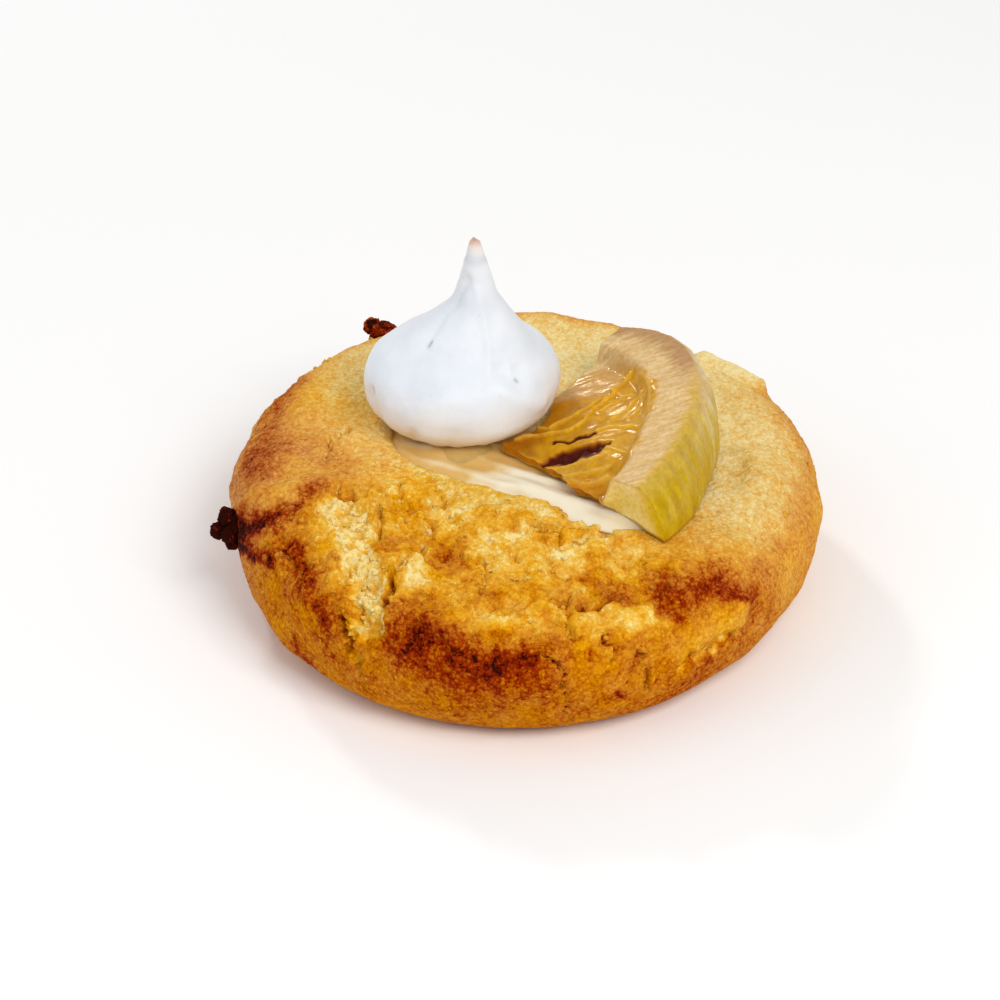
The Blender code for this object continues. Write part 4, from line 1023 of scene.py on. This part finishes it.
def rind_colours(degrees, share, solid):
    """Linear colours of the rind: yellow-green, beige along its top, with beige and whiter streaks
    towards its right as a painted reflection, and painted highlight streaks.
    """
    streak = np.clip(0.4 + noises(solid, RIND_STREAKS), 0.0, 1.0)
    # Towards the right the whiter streaks and the stronger beige are a painted reflection; the beige
    # along the top is the rind's own.
    upper = smoothstep(-8.0, 16.0, degrees) * smoothstep(0.3, 0.7, streak)
    beige = fade(0.05, 0.35, share) * mix(0.25, 1.0, smoothstep(-25.0, 5.0, degrees))
    # These streaks are a painted highlight.
    highlight_streaks = smoothstep(0.06, 0.5, noise_at(solid * (1.5, 0.9, 1.0), 0.8, 95))
    highlight_streaks = highlight_streaks * smoothstep(0.05, 0.3, share) * smoothstep(-22.0, -2.0, degrees)
    return layered(linear(RIND_DARK), (
        (RIND_BRIGHT, streak),
        (RIND_TOP_AND_REFLECTION, 0.8 * np.maximum(beige, 0.8 * upper)),
        (RIND_HIGHLIGHT, 0.5 * highlight_streaks),
    ))


def wedge_body():
    """The wedge: sections from one straight cut to the other, closed by two cut ends."""
    up = wedge_frame()[2]
    bearings = np.radians(np.linspace(WEDGE_FROM, WEDGE_TO, WEDGE_STATIONS))
    inner = np.linspace(0.0, 1.0, WEDGE_STEPS)
    wall = np.linspace(0.04, 0.96, WALL_STEPS)
    under = np.linspace(1.0, 0.0, WEDGE_BASE_STEPS)
    size = WEDGE_STEPS + WALL_STEPS + WEDGE_BASE_STEPS
    bearing = np.repeat(bearings, size)
    radius = wedge_value(WEDGE_RIM, bearing)
    torn = wedge_value(WEDGE_INNER, bearing)
    share = np.tile(np.concatenate([inner, wall, under]), WEDGE_STATIONS)
    kind = np.tile(np.repeat([0, 1, 2], [WEDGE_STEPS, WALL_STEPS, WEDGE_BASE_STEPS]), WEDGE_STATIONS)
    reach = np.where(kind == 0, torn + (radius - WEDGE_ROUNDING - torn) * share, radius)
    under_reach = torn + (radius - torn) * share
    bearing = bearing + ragged_edge(bearing, np.where(kind == 2, under_reach, reach))
    relief, wet, parts = cut_face(bearing, reach)
    top = wedge_top(bearing, reach, relief)
    ray = wedge_rays(bearing)
    rim = np.array(WEDGE_POINT) + ray * radius[:, None]
    level = wedge_base_level(rim[:, 0] + FOOT_REACH * ray[:, 0], rim[:, 1] + FOOT_REACH * ray[:, 1])
    drop = (rim[:, 2] - level) / up[2]
    tuck = wedge_value(WEDGE_TUCK, bearing)
    swell = WEDGE_BULGE * np.sin(math.pi * share) - tuck * share
    swell -= WEDGE_ROUNDING * fade(0.0, 0.14, share) * 0.6
    solid = in_plane(np.degrees(bearing) / 3.0, drop * share / 7.0)
    side = rim - up * (drop * share)[:, None] + ray * (swell + noises(solid, RIND_WRINKLES))[:, None]
    foot = rim - up * drop[:, None] - ray * tuck[:, None]
    core = wedge_top(bearing, torn, np.zeros(len(reach)))
    plan = core[:, :2] + (foot[:, :2] - core[:, :2]) * share[:, None]
    base = np.column_stack([plan, wedge_base_level(plan[:, 0], plan[:, 1])])
    points = np.where((kind == 0)[:, None], top, np.where((kind == 1)[:, None], side, base))
    reach = np.where(kind == 2, under_reach, reach)
    wet = np.where(kind == 0, wet, RIND_WET)
    colour = citrus_colours(bearing, reach, radius, parts)
    colour = np.where((kind == 0)[:, None], colour, rind_colours(np.degrees(bearing), share, solid))
    faces = ring_faces(WEDGE_STATIONS, size)
    for first, outward in ((0, -1.0), ((WEDGE_STATIONS - 1) * size, 1.0)):
        ring = np.arange(first, first + size)
        points, colour, faces = cut_end(points, colour, faces, ring, reach[ring], outward)
    wet = np.concatenate([wet, np.full(len(points) - len(wet), END_WET)])
    return points, faces, {"tint": colour, "wet": wet}


def cut_end(points, colour, faces, ring, reach, outward):
    """A cut end, grown from a section's loop towards its middle line."""
    loop = points[ring]
    is_top = np.arange(len(ring)) < WEDGE_STEPS
    is_base = np.arange(len(ring)) >= WEDGE_STEPS + WALL_STEPS
    order = np.argsort(reach[is_base])
    heights_top = np.interp(reach, reach[is_top], loop[is_top, 2])
    heights_base = np.interp(reach, reach[is_base][order], loop[is_base, 2][order])
    middle = loop.copy()
    middle[:, 2] = 0.5 * (heights_top + heights_base)
    for axis in (0, 1):
        along_top = np.interp(reach, reach[is_top], loop[is_top, axis])
        along_base = np.interp(reach, reach[is_base][order], loop[is_base, axis][order])
        middle[:, axis] = 0.5 * (along_top + along_base)
    away = np.cross(loop[WEDGE_STEPS - 1] - loop[0], np.array([0.0, 0.0, 1.0]))
    away = away / np.linalg.norm(away) * outward
    previous = ring
    tall = np.clip((heights_top - heights_base) / 4.0, 0.1, 1.0)
    from_rind = reach.max() - reach + 0.25 * noise_at(loop, 1.1, 97)
    pale = smoothstep(0.6, 2.2, from_rind) * fade(6.0, 8.2, from_rind)
    for step in range(1, END_STEPS + 1):
        share = step / END_STEPS * END_SHARE
        swell = END_SWELL * math.sin(share * math.pi / 2.0) * tall
        fresh = loop + (middle - loop) * share + away * swell[:, None]
        fresh = fresh + away * (END_GRAIN * noise_at(fresh, 0.9, 96))[:, None]
        start = len(points)
        points = np.concatenate([points, fresh])
        shade = layered(linear(END_YELLOW), ((END_PALE, pale * (0.75 + 0.25 * math.cos(share * 3.0))),
                                             (END_FLESH, smoothstep(6.6, 8.0, from_rind))))
        colour = np.concatenate([colour, mix(colour[previous], shade, min(1.0, step / 2.0))])
        now = np.arange(start, start + len(ring))
        for k in range(len(ring)):
            follow = (k + 1) % len(ring)
            faces.append((previous[k], previous[follow], now[follow], now[k]))
        previous = now
    faces.append(tuple(int(k) for k in previous))
    return points, colour, faces


# ---- loose crumbs -----------------------------------------------------------------------
def crumb_pile(points, bake_and_shading, inside):
    """Small broken crumbs half sunk in the crackled crust, most of them by the cracks."""
    random = np.random.default_rng(CRUMB_SEED)
    z = points[:, 2]
    bearing = np.arctan2(points[:, 1], points[:, 0])
    reach = np.hypot(points[:, 0], points[:, 1])
    clear = (wedge_clearance(points[:, :2]) > 1.2) & (pool_distance(points[:, :2]) > POOL_RADIUS + 1.0)
    clear &= plan_distance(points[:, :2], KISS_FOOT) > KISS_OUTLINE[2][1] + 0.5
    crackled = off_bearing(bearing, PLATES_BEARING) < PLATES_SPREAD
    chance = weighted(CRUMB_CHANCES, (1.0, crackled, inside))
    wanted = clear & (z > CRUMB_LOWEST) & (reach < CRUMB_REACH) & (random.random(len(z)) < chance)
    choice = random.choice(np.flatnonzero(wanted), size=CRUMBS, replace=False)
    all_points, all_faces, all_bake = [], [], []
    rounds, sphere = ball(3)
    for index, place in enumerate(choice):
        size = CRUMB_SIZE[0] + (CRUMB_SIZE[1] - CRUMB_SIZE[0]) * random.random() ** 2
        stretch = 0.6 + 0.8 * random.random(3)
        level, edge = plate_at(rounds, 1.1, 100 + index)
        bumps = 1.0 + 0.28 * level - 0.25 * fade(0.0, 0.3, edge)
        lump = rounds * bumps[:, None] * stretch * size
        turn = Euler(tuple(random.random(3) * 2.0 * math.pi)).to_matrix()
        spun = lump @ np.array(turn)
        start = index * len(rounds)
        all_points.append(spun + points[place] + np.array([0.0, 0.0, size * CRUMB_RAISED]))
        all_faces += [tuple(start + corner for corner in face) for face in sphere]
        shade = bake_and_shading[place] - 0.10 + 0.14 * random.random()
        all_bake.append(np.full(len(rounds), np.clip(shade, 0.0, 0.9)))
    values = {"bake_and_shading": np.concatenate(all_bake), "dusty": np.full(CRUMBS * len(rounds), LOOSE_DUST)}
    return np.concatenate(all_points), all_faces, values


# ---- materials --------------------------------------------------------------------------
def new_material(name):
    """A material with its node tree and its main shader."""
    finish = bpy.data.materials.new(name)
    finish.use_nodes = True
    return finish, finish.node_tree, finish.node_tree.nodes["Principled BSDF"]


def add(tree, kind, **settings):
    node = tree.nodes.new(kind)
    for name, value in settings.items():
        setattr(node, name, value)
    return node


def plug(tree, socket, value):
    """A link from another node's output, or a plain value."""
    if isinstance(value, bpy.types.NodeSocket):
        tree.links.new(value, socket)
    else:
        socket.default_value = value


def feed(tree, node, **sockets):
    """Links and values for sockets by name; an underscore stands for a space."""
    for name, value in sockets.items():
        plug(tree, node.inputs[name.replace("_", " ")], value)


def noise_node(tree, size_mm, detail=3.0, roughness=0.55):
    """Noise in object space whose lumps are this many millimetres."""
    place = add(tree, "ShaderNodeTexCoord").outputs["Object"]
    texture = add(tree, "ShaderNodeTexNoise")
    feed(tree, texture, Vector=place, Scale=1.0 / (size_mm * MM), Detail=detail, Roughness=roughness)
    return texture.outputs["Fac"]


def attribute(tree, name, output="Fac"):
    return add(tree, "ShaderNodeAttribute", attribute_name=name).outputs[output]


def math_node(tree, operation, first, second, clamp=False):
    node = add(tree, "ShaderNodeMath", operation=operation, use_clamp=clamp)
    plug(tree, node.inputs[0], first)
    plug(tree, node.inputs[1], second)
    return node.outputs[0]


def ramp(tree, factor, stops):
    """A colour ramp from (position, sRGB colour) stops."""
    node = add(tree, "ShaderNodeValToRGB")
    bands = node.color_ramp.elements
    while len(bands) > 1:
        bands.remove(bands[-1])
    for index, (position, colour) in enumerate(stops):
        band = bands[0] if index == 0 else bands.new(position)
        band.position = position
        band.color = (*linear(colour), 1.0)
    feed(tree, node, Fac=factor)
    return node.outputs["Color"]


def mix_colour(tree, factor, first, second, blend="MIX"):
    node = add(tree, "ShaderNodeMix", data_type="RGBA", blend_type=blend)
    for place, value in ((0, factor), (6, first), (7, second)):
        plug(tree, node.inputs[place], value)
    return node.outputs[2]


def bump(tree, shader, layers):
    """Stacked bumps: (height socket, depth in millimetres, strength)."""
    normal = None
    for height, depth, strength in layers:
        node = add(tree, "ShaderNodeBump")
        feed(tree, node, Distance=depth * MM, Strength=strength, Height=height)
        if normal is not None:
            feed(tree, node, Normal=normal)
        normal = node.outputs["Normal"]
    feed(tree, shader, Normal=normal)


def spread(tree, value, low, high):
    """A 0 to 1 value carried into a range."""
    node = add(tree, "ShaderNodeMapRange")
    feed(tree, node, Value=value, To_Min=low, To_Max=high)
    return node.outputs[0]


def cells_node(tree, size_mm):
    """Packed grains in object space, this many millimetres across: a random shade for each,
    and the distance from its middle."""
    texture = add(tree, "ShaderNodeTexVoronoi")
    place = add(tree, "ShaderNodeTexCoord").outputs["Object"]
    feed(tree, texture, Vector=place, Scale=1.0 / (size_mm * MM))
    return texture.outputs["Color"], texture.outputs["Distance"]


def crust_material():
    """Baked crust: browning from pale crumb to burnt with the painted shade of pits and narrow cracks,
    sandy with grains of many shades, painted lighter at each grain's middle and painted shade in the gaps
    between grains.
    """
    finish, tree, shader = new_material("baked_crust")
    grain, grain_edge = cells_node(tree, 0.42)
    crumb, crumb_edge = cells_node(tree, 0.95)
    blot = noise_node(tree, 2.2, 3.0)
    dust = noise_node(tree, 0.25, 3.0, 0.65)
    bake_and_shading = attribute(tree, "bake_and_shading")
    pale_grain = math_node(tree, "GREATER_THAN", grain, 0.74)
    # Grain and crumb cells are paler towards their middles and darker towards their edges: a painted
    # sparkle on each grain and painted shade in the gaps between them.
    for value, low, high in ((grain, -0.13, 0.17), (grain_edge, -0.06, 0.11), (crumb, -0.04, 0.04),
                             (crumb_edge, -0.03, 0.05), (blot, -0.06, 0.06), (pale_grain, 0.0, -0.14)):
        bake_and_shading = math_node(tree, "ADD", bake_and_shading, spread(tree, value, low, high))
    bake_and_shading = math_node(tree, "ADD", bake_and_shading, spread(tree, dust, -0.20, 0.18), clamp=True)
    colour = mix_colour(tree, attribute(tree, "dusty"), ramp(tree, bake_and_shading, RICH_CRUST),
                        ramp(tree, bake_and_shading, DUSTY_CRUST))
    feed(tree, shader, Base_Color=colour, Roughness=spread(tree, dust, 0.65, 0.95),
         Subsurface_Weight=0.06, Subsurface_Radius=(1.0, 0.5, 0.12), Subsurface_Scale=0.0008,
         Specular_IOR_Level=0.04, Specular_Tint=(1.0, 0.62, 0.25, 1.0))
    bump(tree, shader, ((crumb_edge, -0.16, 0.8), (grain_edge, -0.09, 0.9), (dust, 0.06, 0.9)))
    return finish


def meringue_material():
    """Dry baked meringue: cool white, satin, with a pinched tip gone faintly tan, a painted shadow band
    just under the tip and a painted warm reflection at its foot.
    """
    finish, tree, shader = new_material("baked_meringue")
    height = attribute(tree, "height")
    # The warm beige at the foot is a painted reflection of the cookie and cream; the grey band just under
    # the pinch is a painted shadow below the tip.
    white = ramp(tree, height, ((0.0, (226, 210, 184)), (0.05, (238, 228, 212)),
                                (0.14, (238, 239, 241)), (0.3, (234, 239, 245)),
                                (0.85, (232, 236, 241)), (0.885, (212, 214, 219)),
                                (0.92, (230, 231, 233)), (0.955, (230, 222, 217)),
                                (0.975, (216, 188, 174)), (1.0, (186, 136, 118))))
    cloud = noise_node(tree, 5.0, 3.0)
    shade = ramp(tree, cloud, ((0.3, (244, 245, 248)), (0.7, (255, 255, 255))))
    colour = mix_colour(tree, 1.0, white, shade, "MULTIPLY")
    specks = ramp(tree, cells_node(tree, 1.9)[1], ((0.0, (222, 224, 228)), (0.05, (246, 246, 248)),
                                                   (0.07, (255, 255, 255))))
    colour = mix_colour(tree, 1.0, colour, specks, "MULTIPLY")
    colour = mix_colour(tree, math_node(tree, "MULTIPLY", attribute(tree, "scratch"), 0.55),
                        colour, (*linear((122, 128, 134)), 1.0))
    feed(tree, shader, Base_Color=colour, Roughness=spread(tree, cloud, 0.42, 0.55),
         Subsurface_Weight=0.3, Subsurface_Radius=(1.0, 0.95, 0.9), Subsurface_Scale=0.0015,
         Specular_IOR_Level=0.35)
    bump(tree, shader, ((noise_node(tree, 1.3, 3.0), 0.06, 0.5),
                        (noise_node(tree, 0.25, 2.0), 0.02, 0.6)))
    return finish


def cream_material():
    """Wet ivory cream, whiter where it lies thick."""
    finish, tree, shader = new_material("wet_cream")
    cloud = spread(tree, noise_node(tree, 3.0, 3.0), -0.3, 0.3)
    thick = math_node(tree, "ADD", attribute(tree, "white"), cloud, clamp=True)
    colour = ramp(tree, thick, ((0.0, (226, 182, 104)), (0.35, (234, 206, 152)),
                                (0.7, (242, 226, 192)), (1.0, (250, 238, 212))))
    feed(tree, shader, Base_Color=colour, Roughness=0.28, Subsurface_Weight=0.35,
         Subsurface_Radius=(1.0, 0.8, 0.5), Subsurface_Scale=0.0015, Specular_IOR_Level=0.4,
         Coat_Weight=0.5, Coat_Roughness=0.06)
    bump(tree, shader, ((noise_node(tree, 2.0, 2.0), 0.12, 0.5),
                        (noise_node(tree, 0.6, 2.0), 0.03, 0.4)))
    return finish


def syrup_material():
    """Clear honey-coloured syrup over the cream."""
    finish, tree, shader = new_material("clear_syrup")
    cloud = noise_node(tree, 2.4, 2.0)
    colour = ramp(tree, cloud, ((0.3, (210, 160, 84)), (0.7, (226, 188, 122))))
    feed(tree, shader, Base_Color=colour, Roughness=0.12, Subsurface_Weight=0.5,
         Subsurface_Radius=(1.0, 0.7, 0.35), Subsurface_Scale=0.002, Specular_IOR_Level=0.5,
         Coat_Weight=0.8, Coat_Roughness=0.03)
    bump(tree, shader, ((noise_node(tree, 1.6, 2.0), 0.08, 0.4),))
    return finish


def citrus_material():
    """Candied citrus: translucent flesh and rind, fibrous pith, under a sticky gloss."""
    finish, tree, shader = new_material("candied_citrus")
    tint = attribute(tree, "tint", "Color")
    wet = attribute(tree, "wet")
    mottle = noise_node(tree, 0.6, 4.0, 0.6)
    shade = ramp(tree, mottle, ((0.25, (232, 220, 196)), (0.6, (255, 255, 255))))
    feed(tree, shader, Base_Color=mix_colour(tree, 1.0, tint, shade, "MULTIPLY"),
         Roughness=spread(tree, wet, 0.6, 0.20), Coat_Weight=spread(tree, wet, 0.0, 0.10),
         Subsurface_Weight=0.25, Subsurface_Radius=(1.0, 0.6, 0.15), Subsurface_Scale=0.0012,
         Specular_IOR_Level=0.2, Specular_Tint=(1.0, 0.62, 0.12, 1.0), Coat_Roughness=0.06)
    bump(tree, shader, ((noise_node(tree, 1.4, 3.0), 0.07, 0.5),
                        (noise_node(tree, 0.35, 2.0), 0.03, 0.5)))
    return finish


def floor_material():
    """The plain pale ground under the cookie."""
    finish, tree, shader = new_material("pale_floor")
    feed(tree, shader, Base_Color=(0.97, 0.97, 0.97, 1.0), Roughness=0.9, Specular_IOR_Level=0.1)
    return finish


# ---- objects ----------------------------------------------------------------------------
def model_shift():
    """From the cookie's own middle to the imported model's origin, read at the kiss's tip."""
    tip = max((vertex.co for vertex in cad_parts["meringue"].data.vertices),
              key=lambda place: place.z)
    top = KISS_OUTLINE[-1][0]
    lean = float(smooth_curve(KISS_LEAN, np.array([top]))[0])
    place = (KISS_FOOT[0] + lean + KISS_NIB[0], KISS_FOOT[1] - KISS_LEAN_FORWARD * lean + KISS_NIB[1])
    return np.array([tip.x / MM - place[0], tip.y / MM - place[1], 0.0])


def add_piece(name, form, finish):
    """A smooth-shaded piece from (points, faces, finish values), riding on the body."""
    points, faces, values = form
    mesh = bpy.data.meshes.new(name)
    mesh.from_pydata([tuple(place) for place in (np.asarray(points) + SHIFT) * MM], [], faces)
    body = bmesh.new()
    body.from_mesh(mesh)
    bmesh.ops.triangulate(body, faces=[face for face in body.faces if len(face.verts) > 4])
    bmesh.ops.recalc_face_normals(body, faces=body.faces[:])
    body.to_mesh(mesh)
    body.free()
    for key, numbers in values.items():
        if numbers.ndim == 2:
            layer = mesh.attributes.new(key, "FLOAT_COLOR", "POINT")
            flat = np.column_stack([numbers, np.ones(len(numbers))]).astype(np.float32)
            layer.data.foreach_set("color", flat.ravel())
        else:
            layer = mesh.attributes.new(key, "FLOAT", "POINT")
            layer.data.foreach_set("value", numbers.astype(np.float32))
    mesh.shade_smooth()
    mesh.materials.append(finish)
    piece = bpy.data.objects.new(name, mesh)
    bpy.context.scene.collection.objects.link(piece)
    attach(piece, "root")
    return piece


def add_camera():
    """The camera that puts MIDDLE_POINT at MIDDLE_PIXEL at the photograph's scale."""
    rise = math.radians(CAMERA_RISE)
    right = np.array([1.0, 0.0, 0.0])
    back = np.array([0.0, -math.cos(rise), math.sin(rise)])
    up = np.array([0.0, math.sin(rise), math.cos(rise)])
    half = PHOTO_WIDTH / 2.0
    aim = (np.array(MIDDLE_POINT) + SHIFT + right * (half - MIDDLE_PIXEL[0]) / PHOTO_SCALE
           + up * (MIDDLE_PIXEL[1] - half) / PHOTO_SCALE)
    data = bpy.data.cameras.new("camera")
    data.sensor_width = SENSOR_WIDTH
    data.lens = PHOTO_SCALE * CAMERA_DISTANCE * SENSOR_WIDTH / PHOTO_WIDTH
    data.clip_start, data.clip_end = 0.01, 10.0
    camera = bpy.data.objects.new("camera", data)
    camera.location = Vector((aim + back * CAMERA_DISTANCE) * MM)
    camera.rotation_euler = (math.radians(90.0 - CAMERA_RISE), 0.0, 0.0)
    bpy.context.scene.collection.objects.link(camera)
    bpy.context.scene.camera = camera


def add_light(name, place, size, power, colour):
    """A soft square light aimed at the cookie."""
    data = bpy.data.lights.new(name, "AREA")
    data.size = size
    data.energy = power
    data.color = colour
    lamp = bpy.data.objects.new(name, data)
    lamp.location = place
    lamp.rotation_euler = (Vector(LIGHT_AIM) - Vector(place)).to_track_quat("-Z", "Y").to_euler()
    bpy.context.scene.collection.objects.link(lamp)


def add_surroundings():
    """The floor, a white sky and the lights."""
    body = bmesh.new()
    bmesh.ops.create_grid(body, x_segments=1, y_segments=1, size=FLOOR_SIZE)
    mesh = bpy.data.meshes.new("floor")
    body.to_mesh(mesh)
    body.free()
    mesh.materials.append(floor_material())
    floor = bpy.data.objects.new("floor", mesh)
    bpy.context.scene.collection.objects.link(floor)
    world = bpy.data.worlds.new("studio")
    world.use_nodes = True
    sky = world.node_tree.nodes["Background"]
    feed(world.node_tree, sky, Color=(1.0, 1.0, 1.0, 1.0), Strength=SKY_STRENGTH)
    bpy.context.scene.world = world
    for light in LIGHTS:
        add_light(*light)
    bpy.context.scene.view_settings.view_transform = "Standard"


SHIFT = model_shift()
add_camera()
add_surroundings()

crust_finish = crust_material()
crust_points, crust_faces, crust_values, torn_share = cookie_crust()
crumbs = crumb_pile(crust_points, crust_values["bake_and_shading"], torn_share)
crust_with_drips = drip_blobs(crust_points, crust_faces, crust_values)
cookie = add_piece("baked_cookie", crust_with_drips, crust_finish)
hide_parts("cookie")
add_piece("loose_crumbs", crumbs, crust_finish)

cream = add_piece("cream_pool", cream_pool(), cream_material())
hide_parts("cream")
add_piece("clear_syrup", syrup_drop(), syrup_material())

kiss = add_piece("meringue_kiss", kiss_skin(), meringue_material())
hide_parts("meringue")

wedge = add_piece("citrus_wedge", wedge_body(), citrus_material())
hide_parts("candied_citrus")

bpy.context.view_layer.update()
